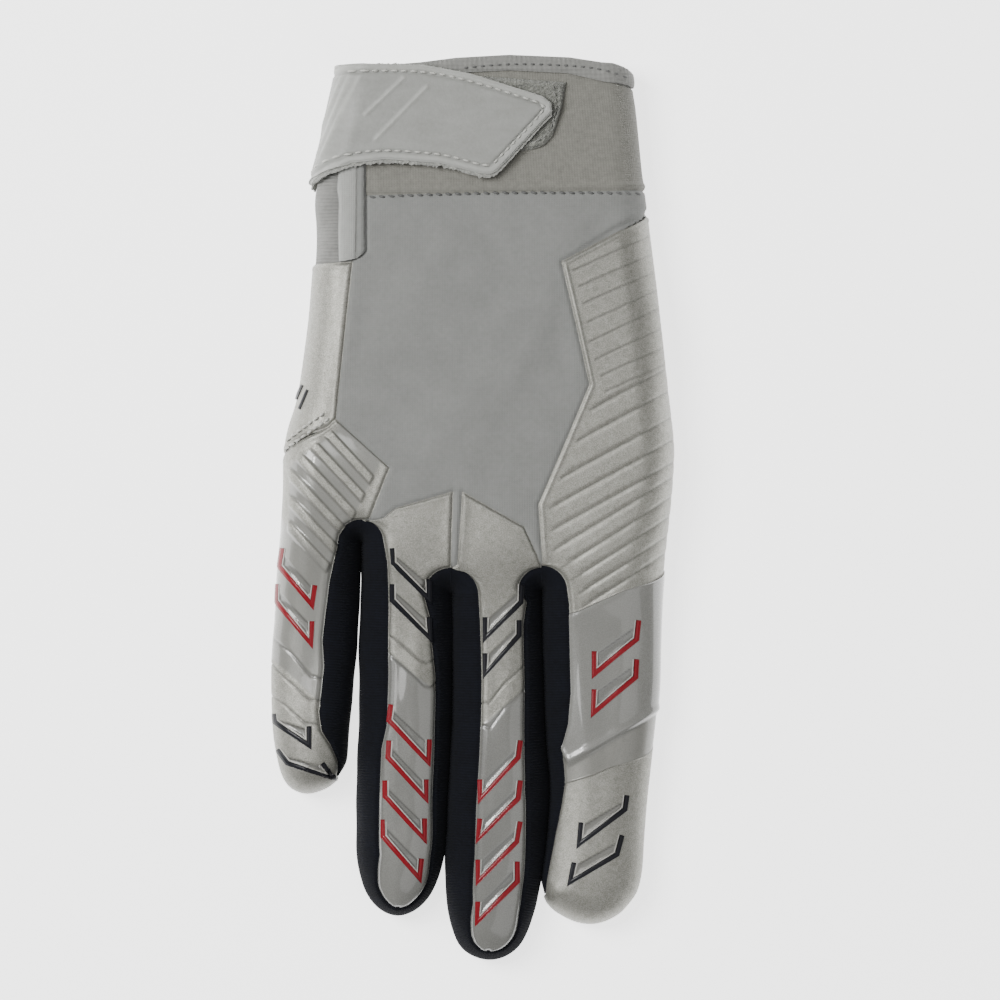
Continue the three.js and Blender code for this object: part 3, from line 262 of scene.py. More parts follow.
def nearest(points, names):
    """Place, normal, radius and signed distance of the outline nearest each flat point, worked out
    for a chunk of points at a time. Further off than half a millimetre the normal points from the
    outline's nearest place to the point itself."""
    points = np.asarray(points, float)
    flat = points.reshape(-1, 2)
    best = np.full(len(flat), np.inf)
    place, normal = np.zeros_like(flat), np.zeros_like(flat)
    radius, signed = np.zeros(len(flat)), np.zeros(len(flat))
    for name in names:
        run = RUNS[name]
        a, ab = run["place"][:-1], np.diff(run["place"], axis=0)
        length = (ab**2).sum(-1)
        for start in range(0, len(flat), CHUNK):
            p = flat[start : start + CHUNK]
            ap = p[:, None] - a
            share = np.clip((ap * ab).sum(-1) / length, 0, 1)
            distance = np.linalg.norm(ap - ab * share[..., None], axis=-1)
            i = distance.argmin(1)
            rows = np.arange(len(p))
            s, d, ap = share[rows, i], distance[rows, i], ap[rows, i]
            side = ab[i, 0] * ap[:, 1] - ab[i, 1] * ap[:, 0]
            end = ((i == 0) & (s == 0)) | ((i == len(a) - 1) & (s == 1))
            sign = np.where(end | (side >= 0), 1.0, -1.0)
            q = a[i] + ab[i] * s[:, None]
            n = unit_vector(run["normal"][i] * (1 - s[:, None]) + run["normal"][i + 1] * s[:, None])
            away = (p - q) * (sign / np.maximum(d, 1e-9))[:, None]
            n = np.where((d > 0.0005)[:, None], away, n)
            r = run["radius"][i] * (1 - s) + run["radius"][i + 1] * s
            index = start + rows[d < best[start : start + len(p)]]
            k = index - start
            best[index], place[index], normal[index] = d[k], q[k], n[k]
            radius[index], signed[index] = r[k], (sign * d)[k]
    whole, each = points.shape, points.shape[:-1]
    return place.reshape(whole), normal.reshape(whole), radius.reshape(each), signed.reshape(each)


def edge_point(place, normal, radius, distance, offset, face):
    """A point round the edge: with angle 90 |distance| / radius, it lies (radius + offset)
    (1 - cos angle) - offset inside the outline and sin angle of the way to the face."""
    top = (face > 0) ^ (distance < 0)
    radius = np.where(top, radius, UNDER_RADIUS)
    angle = np.minimum(np.abs(distance) / radius, 1) * math.pi / 2
    inset = (radius + offset) * (1 - np.cos(angle)) - offset
    xy = place + normal * inset[..., None]
    middle = EQUATOR + PALM_SHARE * palm_floor(place)
    reach = np.where(top, back_height(xy) - middle, middle - palm_floor(xy))
    z = middle + np.where(top, 1, -1) * (reach + offset) * np.sin(angle)
    return np.concatenate([xy, z[..., None]], -1)


ALL = ("pinky", "ring", "middle", "index")


def surface(flat, offset=0.0, face=1, names=ALL):
    """The glove's surface at flat pattern points, moved out by offset."""
    place, normal, radius, distance = nearest(flat, names)
    offset = np.broadcast_to(offset, distance.shape)
    rolled = edge_point(place, normal, radius, distance, offset, face)
    z = back_height(flat) + offset if face > 0 else palm_floor(flat) - offset
    straight = np.concatenate([flat, z[..., None]], -1)
    limit = radius if face > 0 else UNDER_RADIUS
    return np.where((distance < limit)[..., None], rolled, straight)


def flat_of(grid, names=ALL):
    """Flat pattern points for places seen from above: near an edge the distance from the outline
    becomes the arc acos(1 - d / r) r / 90."""
    xy = plan(grid)
    place, normal, radius, distance = nearest(xy, names)
    arc = np.arccos(np.clip(1 - distance / radius, -1, 1)) / (math.pi / 2) * radius
    near = (distance > 0) & (distance < radius)
    return np.where(near[..., None], place + normal * arc[..., None], xy)


def even(line, count):
    """A line resampled to count equal steps of its length."""
    line = np.asarray(line, float)
    length = np.concatenate([[0], np.cumsum(np.linalg.norm(np.diff(line, axis=0), axis=1))])
    target = np.linspace(0, length[-1], count + 1)
    return np.stack([np.interp(target, length, line[:, k]) for k in range(line.shape[1])], -1)


def join(*parts):
    """Several lists of points as one."""
    return np.vstack([np.atleast_2d(part) for part in parts])


def outline(name, low, high, side, reach=UNDER_REACH):
    """Flat points at reach outside one side of a finger's or the hand's outline, from grid height
    low down to high."""
    run = RUNS[name]
    tip = int(run["place"][:, 1].argmin())
    part = slice(None, tip + 1) if side == "left" else slice(None, tip - 1 if tip else None, -1)
    place, normal = run["place"][part], run["normal"][part]
    y = grid_of(place)[:, 1]
    order = np.argsort(y)
    wanted = np.concatenate([[low], y[order][(y[order] > low) & (y[order] < high)], [high]])
    pick = lambda v: np.stack([np.interp(wanted, y[order], v[order, k]) for k in range(2)], -1)
    return pick(place) - unit_vector(pick(normal)) * reach


def grid_faces(rows, columns):
    """Quads over a grid of rows by columns vertices."""
    i = np.arange(rows - 1)[:, None] * columns + np.arange(columns - 1)
    return np.stack([i, i + columns, i + columns + 1, i + 1], -1).reshape(-1, 4)


def add_mesh(name, vertices, faces, material, nodes, attributes=None, uv=None):
    """A mesh piece that rides the glove's body and stands for the CAD nodes."""
    mesh = bpy.data.meshes.new(name)
    vertices, faces = np.asarray(vertices, np.float32).reshape(-1, 3), np.asarray(faces, np.int32)
    mesh.vertices.add(len(vertices))
    mesh.vertices.foreach_set("co", vertices.ravel())
    mesh.loops.add(faces.size)
    mesh.loops.foreach_set("vertex_index", faces.ravel())
    mesh.polygons.add(len(faces))
    mesh.polygons.foreach_set("loop_start", np.arange(len(faces), dtype=np.int32) * 4)
    mesh.update(calc_edges=True)
    for key, values in (attributes or {}).items():
        layer = mesh.attributes.new(key, "FLOAT", "POINT")
        layer.data.foreach_set("value", np.asarray(values, np.float32).ravel())
    if uv is not None:
        layer = mesh.uv_layers.new(name="pattern")
        layer.data.foreach_set("uv", np.asarray(uv, np.float32).reshape(-1, 2)[faces.ravel()].ravel())
    mesh.polygons.foreach_set("use_smooth", np.ones(len(faces), bool))
    mesh.materials.append(material)
    mesh.update()
    piece = bpy.data.objects.new(name, mesh)
    bpy.context.scene.collection.objects.link(piece)
    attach(piece, "root")
    if nodes:
        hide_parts(*nodes)
    return piece


FAR = 9


def border_distance(points, joined):
    """Distance of each grid point from the grid's border, along its row or its column. joined says
    whether the first and the last row go on into the next panel, without a seam."""
    steps_across, steps_down = (np.linalg.norm(np.diff(points, axis=k), axis=-1) for k in (1, 0))
    across = np.pad(np.cumsum(steps_across, 1), ((0, 0), (1, 0)))
    down = np.pad(np.cumsum(steps_down, 0), ((1, 0), (0, 0)))
    first, last = (FAR * row for row in joined)
    return np.minimum.reduce([across, across[:, -1:] - across, down + first, down[-1:] - down + last])


def shell(name, outer, inner, material, nodes, attributes=None, uv=None):
    """A closed sheet from grids of outer and inner points with walls along their border."""
    rows, columns = outer.shape[:2]
    count = rows * columns
    index = np.arange(count).reshape(rows, columns)
    ring = np.concatenate([index[0, :-1], index[:-1, -1], index[-1, :0:-1], index[:0:-1, 0]])
    after = np.roll(ring, -1)
    top = grid_faces(rows, columns)
    a, b, c = (outer.reshape(-1, 3)[top[:, k]] for k in range(3))
    out = (outer - inner).reshape(-1, 3)[top[:, 0]]
    if (np.cross(b - a, c - a) * out).sum() < 0:
        top = top[:, ::-1]
        ring, after = after, ring
    under = top[:, ::-1] + count
    wall = np.stack([after, ring, ring + count, after + count], -1)
    both = lambda v: None if v is None else np.concatenate([v.reshape(count, -1), v.reshape(count, -1)])
    attributes = {k: both(v) for k, v in (attributes or {}).items()}
    vertices = np.concatenate([outer.reshape(-1, 3), inner.reshape(-1, 3)])
    faces = np.concatenate([top, under, wall])
    return add_mesh(name, vertices, faces, material, nodes, attributes, both(uv))


TUCK = 0.0005
TUCK_REACH = 0.0009


def tucked(border, depth=TUCK):
    """How deep a border dips into its seam: depth (1 - smoothstep(border))^2 within TUCK_REACH."""
    return depth * (1 - smoothstep(border, 0, TUCK_REACH)) ** 2


def panel(name, flat, material, nodes, names=ALL, relief=None, paint=None, proud=0.0, thickness=WALL,
          tuck=TUCK, joined=(False, False)):
    """A sewn panel over a grid of flat points. Its border tucks into the seams, relief(grid, border)
    gives what stands out and paint(grid, border) the attributes of its material."""
    border = border_distance(flat, joined)
    seen = grid_of(surface(flat, proud, 1, names))
    out = proud - tucked(border, tuck)
    if relief is not None:
        out = out + relief(seen, border)
    outer = surface(flat, out, 1, names)
    inner = surface(flat, np.full(border.shape, proud - thickness), 1, names)
    attributes = paint(seen, border) if paint is not None else None
    return shell(name, outer, inner, material, nodes, attributes, flat)


def ladder(left, right, steps):
    """A grid of points between two lines of the same length."""
    t = np.linspace(0, 1, steps + 1)[None, :, None]
    return left[:, None] * (1 - t) + right[:, None] * t


def mix(tree, factor, low, high):
    """A colour node between two colours by the factor socket."""
    node = tree.nodes.new("ShaderNodeMix")
    node.data_type = "RGBA"
    tree.links.new(factor, node.inputs[0])
    for socket, value in ((node.inputs[6], low), (node.inputs[7], high)):
        if isinstance(value, tuple):
            socket.default_value = (*value, 1)
        else:
            tree.links.new(value, socket)
    return node.outputs[2]


def calc(tree, operation, *values, clamp=False):
    """A maths node of the values, which are numbers or sockets."""
    node = tree.nodes.new("ShaderNodeMath")
    node.operation = operation
    node.use_clamp = clamp
    for socket, value in zip(node.inputs, values):
        if isinstance(value, (int, float)):
            socket.default_value = value
        else:
            tree.links.new(value, socket)
    return node.outputs[0]


def weigh(tree, a, k, b, m, clamp=False):
    """The sum a k + b m of two sockets by their weights."""
    return calc(tree, "ADD", calc(tree, "MULTIPLY", a, k), calc(tree, "MULTIPLY", b, m), clamp=clamp)


def contrast(tree, value, middle, gain):
    """0.5 + gain (value - middle), held between 0 and 1."""
    return calc(tree, "MULTIPLY_ADD", calc(tree, "SUBTRACT", value, middle), gain, 0.5, clamp=True)


def noise(tree, size, detail=2.0, rough=0.5, stretch=(1, 1, 1)):
    """Noise with features of about size metres."""
    coordinates = tree.nodes.new("ShaderNodeTexCoord")
    mapping = tree.nodes.new("ShaderNodeMapping")
    mapping.inputs["Scale"].default_value = stretch
    node = tree.nodes.new("ShaderNodeTexNoise")
    node.inputs["Scale"].default_value = 0.5 / size
    node.inputs["Detail"].default_value = detail
    node.inputs["Roughness"].default_value = rough
    tree.links.new(coordinates.outputs["Object"], mapping.inputs["Vector"])
    tree.links.new(mapping.outputs[0], node.inputs["Vector"])
    return node.outputs[0]


def pattern_axes(tree):
    """The two coordinates of the flat pattern, in metres."""
    node = tree.nodes.new("ShaderNodeUVMap")
    node.uv_map = "pattern"
    parts = tree.nodes.new("ShaderNodeSeparateXYZ")
    tree.links.new(node.outputs[0], parts.inputs[0])
    return parts.outputs[0], parts.outputs[1]


def wave(tree, coordinate, pitch):
    """0.5 + 0.5 sin(2 pi coordinate / pitch)."""
    sine = calc(tree, "SINE", calc(tree, "MULTIPLY", coordinate, 2 * math.pi / pitch))
    return calc(tree, "MULTIPLY_ADD", sine, 0.5, 0.5)


def bump(tree, links, bsdf, height, depth):
    """Gives the shader a bumpy normal with relief of depth metres."""
    node = tree.nodes.new("ShaderNodeBump")
    node.inputs["Distance"].default_value = depth
    node.inputs["Strength"].default_value = 1
    links.new(height, node.inputs["Height"])
    links.new(node.outputs[0], bsdf.inputs["Normal"])


ROOM_SHARE = 0.78


def linear(r, g, b):
    """Scene colour from 0 to 255 display values, a little darker for the bright room."""
    return tuple(ROOM_SHARE * ((v / 255 + 0.055) / 1.055) ** 2.4 for v in (r, g, b))


def knit(name, light, dark, pitch, depth, cloudy=0.004, rough=0.85, sheen=0.15, ribs=0.0, fuzz=0.5):
    """Knitted cloth: wales and courses as crossed waves of the pitch, uneven yarn and soft clouds of
    tone between two colours. ribs from 0 to 1 leaves only the courses."""
    material, tree, links, bsdf = shader(name)
    u, v = pattern_axes(tree)
    courses = wave(tree, v, pitch)
    wales = wave(tree, u, pitch * 1.15)
    weave = weigh(tree, courses, 0.5 + ribs / 2, wales, 0.5 - ribs / 2)
    fine = noise(tree, 0.0006, 3, 0.6)
    clouds = noise(tree, cloudy, 3, 0.55)
    tone = contrast(tree, weigh(tree, fine, fuzz, clouds, 1 - fuzz), 0.5, 1.6)
    tone = calc(tree, "MULTIPLY_ADD", calc(tree, "SUBTRACT", weave, 0.5), 0.2, tone, clamp=True)
    links.new(mix(tree, tone, linear(*dark), linear(*light)), bsdf.inputs["Base Color"])
    bsdf.inputs["Roughness"].default_value = rough
    bsdf.inputs["Sheen Weight"].default_value = sheen
    bsdf.inputs["Sheen Roughness"].default_value = 0.5
    height = calc(tree, "ADD", weave, calc(tree, "MULTIPLY", fine, 0.8))
    bump(tree, links, bsdf, height, depth)
    bsdf.inputs["Specular IOR Level"].default_value = 0.2
    return material


back_knit = knit("grey stretch knit", (150, 151, 148), (128, 129, 126), 0.00055, 0.00006)

CUFF_SEAM = ((366, 645), (196, 191))


def cuff_seam_y(x):
    """Grid height of the cuff's seam at x."""
    return np.interp(x, *CUFF_SEAM)


SEAMS = {
    "ulnar": [(353, 262), (336, 419), (390, 468), (370, 519)],
    "ring_top": [(380, 521), (396, 508), (453.5, 491), (451, 565)],
    "middle_top": [(457, 565), (462, 491), (524, 526.5), (539.5, 562)],
    "index_edge": [(542, 562), (538, 505), (566, 440), (589, 385), (579, 340), (561, 262), (646, 211)],
    "double": [(336, 419), (328, 427), (283.5, 461)],
}
FLAT = {name: flat_of(rows) for name, rows in SEAMS.items()}

BACK_BORDER = join(
    flat_of([(366, 196), (505, 193.5), (645, 191)]), outline("index", 191, 210, "right"),
    *(FLAT[seam][::-1] for seam in ("index_edge", "middle_top", "ring_top", "ulnar")), flat_of([(366, 251)]))


def line_distance(grid, line):
    """Distance from a line of points, in grid units."""
    line = np.asarray(line, float)
    best = np.full(grid.shape[:-1], np.inf)
    for a, b in zip(line[:-1], line[1:]):
        t = np.clip(((grid - a) @ (b - a)) / ((b - a) @ (b - a)), 0, 1)
        best = np.minimum(best, np.linalg.norm(grid - a - t[..., None] * (b - a), axis=-1))
    return best


def inside(points, border):
    """Distance inside a closed border, in the border's units; negative outside. A point is inside
    where a ray to the right crosses the border an odd number of times."""
    a, b = border, np.roll(border, -1, 0)
    odd = np.zeros(points.shape[:-1], bool)
    for (ax, ay), (bx, by) in zip(a, b):
        if ay != by:
            x = ax + (points[..., 1] - ay) * (bx - ax) / (by - ay)
            odd ^= ((ay > points[..., 1]) != (by > points[..., 1])) & (points[..., 0] < x)
    return np.where(odd, 1, -1) * line_distance(points, np.vstack([border, border[:1]]))


SWELL_HEIGHT = 0.00042
PULL_HEIGHT = 0.00025
UNDERLAP = 0.0016
UNDERLAP_DROP = 0.0002
CLOTH_STEP = 0.0005


def folds(grid, border):
    """Low soft folds of the stretch knit, as sums of long waves, fading at the seams."""
    x, y = grid[..., 0], grid[..., 1]
    swell = np.sin(x / 23 + np.sin(y / 61) * 1.3) * np.sin(y / 47 + x / 90)
    pull = bell(x - 600 + (y - 205) * 0.5, 14) * smoothstep(y, 180, 215)
    return (SWELL_HEIGHT * swell + PULL_HEIGHT * pull) * smoothstep(border, 0.001, 0.006)


low, high = BACK_BORDER.min(0) - UNDERLAP, BACK_BORDER.max(0) + UNDERLAP
steps = np.ceil((high - low) / CLOTH_STEP).astype(int)
along = (np.linspace(low[k], high[k], steps[k]) for k in (0, 1))
back_flat = np.stack(np.meshgrid(*along, indexing="ij"), -1)
depth = inside(back_flat, BACK_BORDER)
cloth = folds(grid_of(back_flat), np.maximum(depth, 0)) - tucked(depth)
cloth = cloth - UNDERLAP_DROP * smoothstep(-depth, 0, 0.0003)
sides = [surface(back_flat, cloth), surface(back_flat, np.full(depth.shape, -WALL))]
kept = (depth > -UNDERLAP) & (nearest(back_flat, ALL)[3] > -UNDER_REACH)
quads = grid_faces(*depth.shape)
quads = quads[kept.ravel()[quads].all(1)][:, ::-1]
quads = np.concatenate([quads, quads[:, ::-1] + depth.size])
add_mesh("back_panel_cloth", np.concatenate([side.reshape(-1, 3) for side in sides]), quads, back_knit,
         ["back_panel"], None, np.tile(back_flat.reshape(-1, 2), (2, 1)))

# Ring and middle finger backs. Real pieces: a fan over the knuckles and a strip down each finger,
# knit with a speckled satin silver print, and a glossy light grey film below the second joint.
# The grey insets of the bracket stripes are pressed a little into the film.

# Strokes of the bracket stripes. Columns: finger, colour, then the four corners in grid units.
STROKES = [
    ("pinky", "red", (282, 548), (279, 566), (312, 605), (315, 585)),
    ("pinky", "red", (276, 584), (275, 601), (311, 644), (312, 621)),
    ("pinky", "navy", (273, 714), (274, 722), (309, 745), (309, 726)),
    ("pinky", "navy", (277, 750), (287, 763), (333, 778), (322, 763)),
    ("ring", "navy", (392, 548), (393, 563), (429, 599), (429, 579)),
    ("ring", "navy", (392, 584), (392, 600), (430, 638), (429, 617)),
    ("ring", "red", (391, 704), (389, 720), (428, 762), (429, 739)),
    ("ring", "red", (389, 740), (388, 757), (426, 799), (426, 779)),
    ("ring", "red", (385, 780), (385, 796), (424, 839), (424, 818)),
    ("ring", "red", (383, 819), (383, 836), (419, 878), (421, 858)),
    ("middle", "navy", (522, 584), (521, 602), (485, 638), (485, 617)),
    ("middle", "navy", (519, 620), (519, 635), (485, 674), (485, 653)),
    ("middle", "red", (520, 740), (518, 757), (480, 799), (480, 779)),
    ("middle", "red", (520, 780), (518, 798), (478, 839), (480, 818)),
    ("middle", "red", (520, 821), (517, 841), (478, 881), (478, 859)),
    ("middle", "red", (517, 861), (517, 881), (477, 922), (478, 901)),
    ("index", "red", (638, 620), (636, 639), (594, 674), (594, 651)),
    ("index", "red", (636, 659), (635, 677), (593, 713), (594, 689)),
    ("index", "navy", (627, 795), (625, 809), (579, 844), (581, 822)),
    ("index", "navy", (622, 835), (617, 854), (570, 882), (574, 862)),
]
STROKE_WIDTH = 4.8
INSET_GAP = 4.4


def inside_distance(grid, corners):
    """Distance inside a convex polygon, in grid units; negative outside."""
    corners = np.asarray(corners, float)
    edges = np.roll(corners, -1, 0) - corners
    turn = np.sign(np.cross(edges[0], edges[1]))
    normals = unit_vector(np.stack([-edges[:, 1], edges[:, 0]], -1)) * turn
    return np.min([(grid - c) @ n for c, n in zip(corners, normals)], axis=0)


def inset_depth(grid, finger):
    """1 inside the pressed grey insets of a finger's stripes and 0 outside."""
    depth = np.zeros(grid.shape[:-1])
    for name, _, *corners in STROKES:
        if name == finger:
            within = inside_distance(grid, corners) - INSET_GAP
            depth = np.maximum(depth, smoothstep(within, -1, 0.6))
    return depth


def inset_rim(grid, finger):
    """1 on the fine dark line round a finger's pressed insets, painted shade along their step."""
    rim = np.zeros(grid.shape[:-1])
    for name, _, *corners in STROKES:
        if name == finger:
            rim = np.maximum(rim, bell(inside_distance(grid, corners) - INSET_GAP + 0.2, 0.55))
    return rim


def film(name):
    """Printed film on knit. Attribute gloss mixes from speckled satin silver to glossy light grey,
    and shade darkens it; both have a fine uneven grain, and the gloss has a clear coat."""
    material, tree, links, bsdf = shader(name)
    attribute = {}
    for key in ("gloss", "shade"):
        node = tree.nodes.new("ShaderNodeAttribute")
        node.attribute_name = key
        attribute[key] = node.outputs["Fac"]
    gloss = attribute["gloss"]
    speck = noise(tree, 0.00013, 3, 0.75)
    grain = noise(tree, 0.0007, 2, 0.6)
    clouds = noise(tree, 0.006, 2, 0.5)
    ground = calc(tree, "MULTIPLY_ADD", grain, 0.7, 0.15)
    specks = calc(tree, "MULTIPLY_ADD", calc(tree, "SUBTRACT", speck, 0.5), 3.0, ground, clamp=True)
    satin = mix(tree, specks, linear(132, 131, 123), linear(190, 189, 180))
    smooth_grey = mix(tree, clouds, linear(124, 124, 119), linear(138, 138, 133))
    colour = mix(tree, gloss, satin, smooth_grey)
    # The shade attribute mixes in near black: painted shade, and the insets' own darker grey.
    dark = mix(tree, attribute["shade"], linear(8, 8, 8), colour)
    links.new(dark, bsdf.inputs["Base Color"])
    satin_roughness = calc(tree, "MULTIPLY_ADD", specks, -0.14, 0.46)
    links.new(calc(tree, "MULTIPLY_ADD", gloss, -0.12, satin_roughness), bsdf.inputs["Roughness"])
    links.new(calc(tree, "MULTIPLY_ADD", gloss, -0.55, 0.55), bsdf.inputs["Metallic"])
    links.new(calc(tree, "MULTIPLY", gloss, 1.0, clamp=True), bsdf.inputs["Coat Weight"])
    bsdf.inputs["Coat Roughness"].default_value = 0.05
    speck_share = calc(tree, "MULTIPLY_ADD", gloss, -0.8, 1.0)
    height = calc(tree, "MULTIPLY_ADD", specks, speck_share, calc(tree, "MULTIPLY", clouds, 0.8))
    bump(tree, links, bsdf, height, 0.00003)
    return material


silver_film = film("silver and grey film")

# Width of the navy side walls seen from above. Columns: share of the way along the run, width.
WALLS = {
    "pinky": [
        (0.776, 1.5), (0.79, 5), (0.806, 14), (0.818, 25), (0.836, 30), (0.88, 29), (0.905, 33), (0.93, 31.5),
        (0.96, 29), (0.985, 24), (1, 21),
    ],
    "ring": [
        (0, 21), (0.03, 25), (0.1, 27), (0.18, 28), (0.25, 26.5), (0.28, 22), (0.43, 21), (0.48, 12),
        (0.53, 7), (0.56, 6), (0.6, 7), (0.64, 11), (0.72, 13.5), (0.82, 15), (0.89, 15), (0.93, 18),
        (0.97, 20), (1, 26),
    ],
    "middle": [
        (0, 26), (0.03, 27), (0.11, 28), (0.335, 28), (0.4, 24), (0.45, 14), (0.48, 8), (0.52, 7), (0.55, 9),
        (0.58, 12.5), (0.69, 20), (0.745, 23.5), (0.81, 20), (0.885, 17.5), (0.955, 17), (0.985, 13), (1, 22),
    ],
    "index": [
        (0, 24), (0.012, 26), (0.08, 26), (0.105, 22), (0.125, 13), (0.15, 13), (0.19, 6), (0.228, 3),
        (0.236, 1.5),
    ],
}


def side_wall(name):
    """Places, normals, radii and reach over the top of a finger's navy side wall, with the turn
    round the crotch at its ends."""
    run, table = RUNS[name], np.array(WALLS[name])
    steps = np.linalg.norm(np.diff(run["place"], axis=0), axis=1)
    share = np.concatenate([[0], np.cumsum(steps)]) / steps.sum()
    count = 10 + int((table[-1, 0] - table[0, 0]) * steps.sum() / 0.0006)
    wanted = np.linspace(table[0, 0], table[-1, 0], count)
    pick = lambda v: np.interp(wanted, share, v)
    place = np.stack([pick(run["place"][:, k]) for k in range(2)], -1)
    normal = unit_vector(np.stack([pick(run["normal"][:, k]) for k in range(2)], -1))
    radius, width = pick(run["radius"]), np.interp(wanted, table[:, 0], table[:, 1]) * UNIT[0]
    turn = np.linspace(1, 0, 16, endpoint=False)[:, None]
    rows = lambda v, first, last: np.concatenate(
        ([np.repeat(v[:1], 16, 0)] if first else []) + [v] + ([np.repeat(v[-1:], 16, 0)] if last else []))
    first, last = table[0, 0] == 0, table[-1, 0] == 1
    start = unit_vector(normal[0] * (1 - turn) + np.array([0.0, 1.0]) * turn)
    end = unit_vector(normal[-1] * (1 - turn[::-1]) + np.array([0.0, 1.0]) * turn[::-1])
    turned = np.concatenate(([start] if first else []) + [normal] + ([end] if last else []))
    place, radius, width = (rows(v, first, last) for v in (place, radius, width))
    names = list(RUNS)
    if first:
        place[:16] += (RUNS[names[names.index(name) - 1]]["place"][-1] - place[0]) * 0.6 * turn
    if last:
        place[-16:] += (RUNS[names[names.index(name) + 1]]["place"][0] - place[-1]) * 0.6 * turn[::-1]
    reach = np.arccos(np.clip(1 - width / radius, 0, 1)) / (math.pi / 2) * radius
    return {"place": place, "normal": turned, "radius": radius, "reach": reach}


SIDE_WALLS = {name: side_wall(name) for name in WALLS}


def wall_seam(name, side=None):
    """Flat points of the seam between a side wall and the finger's back."""
    wall = SIDE_WALLS[name]
    line = wall["place"] + wall["normal"] * wall["reach"][:, None]
    y = grid_of(wall["place"])[:, 1]
    tip = int(y.argmax())
    keep = np.ones(len(y), bool)
    if side == "left":
        keep &= np.arange(len(y)) <= tip
    if side == "right":
        keep &= np.arange(len(y)) >= tip
    line = line[keep]
    return line if side != "right" else line[::-1]


# Lines across the joints, where the film is folded. Columns: finger, then the line's places.
JOINTS = [
    ("ring", (389, 636), (400, 643), (418, 659), (427, 663), (436, 659)),
    ("ring", (389, 654), (404, 666), (424, 685), (431, 687), (439, 681)),
    ("middle", (524, 666), (504, 684), (489, 703), (481, 703)),
    ("middle", (524, 690), (504, 708), (490, 727), (481, 725)),
    ("pinky", (274, 640), (290, 652), (311, 676), (322, 678)),
    ("pinky", (271, 664), (284, 678), (310, 700), (322, 700)),
    ("pinky", (270, 696), (283, 704), (305, 723), (318, 724)),
]

# Painted shade: how far the film's colour darkens towards the fingertips. Rows: y on the grid, brightness.
PAINTED_TIP_SHADE = {
    "ring": ((490, 900), (0.88, 0.86)),
    "middle": ((490, 950), (0.88, 0.84)),
    "pinky": ((430, 560, 700, 790), (1, 0.95, 0.88, 0.74)),
}
GLOSS_FROM = {"ring": ((389, 654), (431, 687)), "middle": ((485, 722), (524, 690))}


def below(grid, line, blur=1.5):
    """1 below a straight line of two places and 0 above it, with an edge of blur grid units."""
    (x0, y0), (x1, y1) = line
    y = y0 + (grid[..., 0] - x0) * (y1 - y0) / (x1 - x0)
    return smoothstep(grid[..., 1] - y, -blur, blur)


def joint_lines(grid, finger):
    """1 on a finger's fold lines, falling to 0 within about a millimetre."""
    out = np.zeros(grid.shape[:-1])
    for name, *line in JOINTS:
        if name == finger:
            out = np.maximum(out, bell(line_distance(grid, line), 0.9))
    return out


def finger_relief(finger):
    """Relief of a finger's film: insets pressed in, fold lines, a rolled lip and the film's step."""

    def relief(grid, border):
        out = -0.00022 * inset_depth(grid, finger) - 0.00028 * joint_lines(grid, finger)
        out = out + 0.00006 * bell(border - 0.0012, 0.0005)
        if finger in GLOSS_FROM:
            out = out + 0.00016 * below(grid, GLOSS_FROM[finger])
        dent = np.sin(grid[..., 1] / 19 + grid[..., 0] / 31) * np.sin(grid[..., 1] / 43 + 1.3)
        return out + 0.00014 * dent * smoothstep(border, 0.001, 0.004)

    return relief


def finger_paint(finger):
    """Gloss and shade of a finger's film: painted shade at its seams, in the fold lines and round the pressed
    insets, and the insets' own darker grey.
    """

    def paint(grid, border):
        gloss = below(grid, GLOSS_FROM[finger]) if finger in GLOSS_FROM else np.zeros(border.shape)
        inset = inset_depth(grid, finger)
        # Painted shade: darker where the film tucks into its seams.
        edge = bell(border - 0.0006, 0.0004)
        # Painted shade in the fold lines and along the insets' step; the insets' grey is their own colour.
        shade = 1 - 0.24 * inset - 0.25 * edge - 0.45 * (joint_lines(grid, finger) + inset_rim(grid, finger))
        # Painted shade: the film darkens towards the fingertips.
        shade = shade * np.interp(grid[..., 1], *PAINTED_TIP_SHADE[finger])
        return {"gloss": np.maximum(gloss, inset * 0.75), "shade": np.clip(shade, 0, 1)}

    return paint


for finger, top_left, top_right in (
    ("ring", join(FLAT["ring_top"][[1, 0]]), join(FLAT["ring_top"][[2, 3]])),
    ("middle", join(FLAT["middle_top"][[1, 0]]), join(FLAT["middle_top"][[2, 3]])),
):
    left = even(join(top_left, wall_seam(finger, "left")), 300)
    right = even(join(top_right, wall_seam(finger, "right")), 300)
    panel(f"{finger}_finger_film", ladder(left, right, 60), silver_film,
          [f"{finger}_finger_back"], relief=finger_relief(finger), paint=finger_paint(finger))

# Ulnar side panel and little finger's back. Real pieces: printed knit down the outside of the hand,
# double-stitched at the heel of the little finger to a back with raised diagonal bars.


def pair(left, right, count):
    """Two lines resampled to the same count of steps."""
    return even(left, count), even(right, count)


ulnar_top = flat_of([(312, 265), (318, 264), (353, 262)])
knee, heel = FLAT["double"][1], FLAT["double"][2] + np.array([-UNDER_REACH, 0])
ulnar_left = even(outline("pinky", 265, 461, "left"), 130)
ulnar_right = even(join(FLAT["ulnar"][0], FLAT["double"][0]), 130)
ulnar_knee = even(join(ulnar_top[1], knee), 130)
ulnar_grid = np.concatenate(
    [ladder(ulnar_left, ulnar_knee, 34)[:, :-1], ladder(ulnar_knee, ulnar_right, 30)], 1)


def plain_paint(grid, border):
    """Speckled satin film without gloss, a little darker all over as painted shade."""
    # Painted shade: the whole panel a little darker.
    return {"gloss": np.zeros(border.shape), "shade": np.full(border.shape, 0.95)}


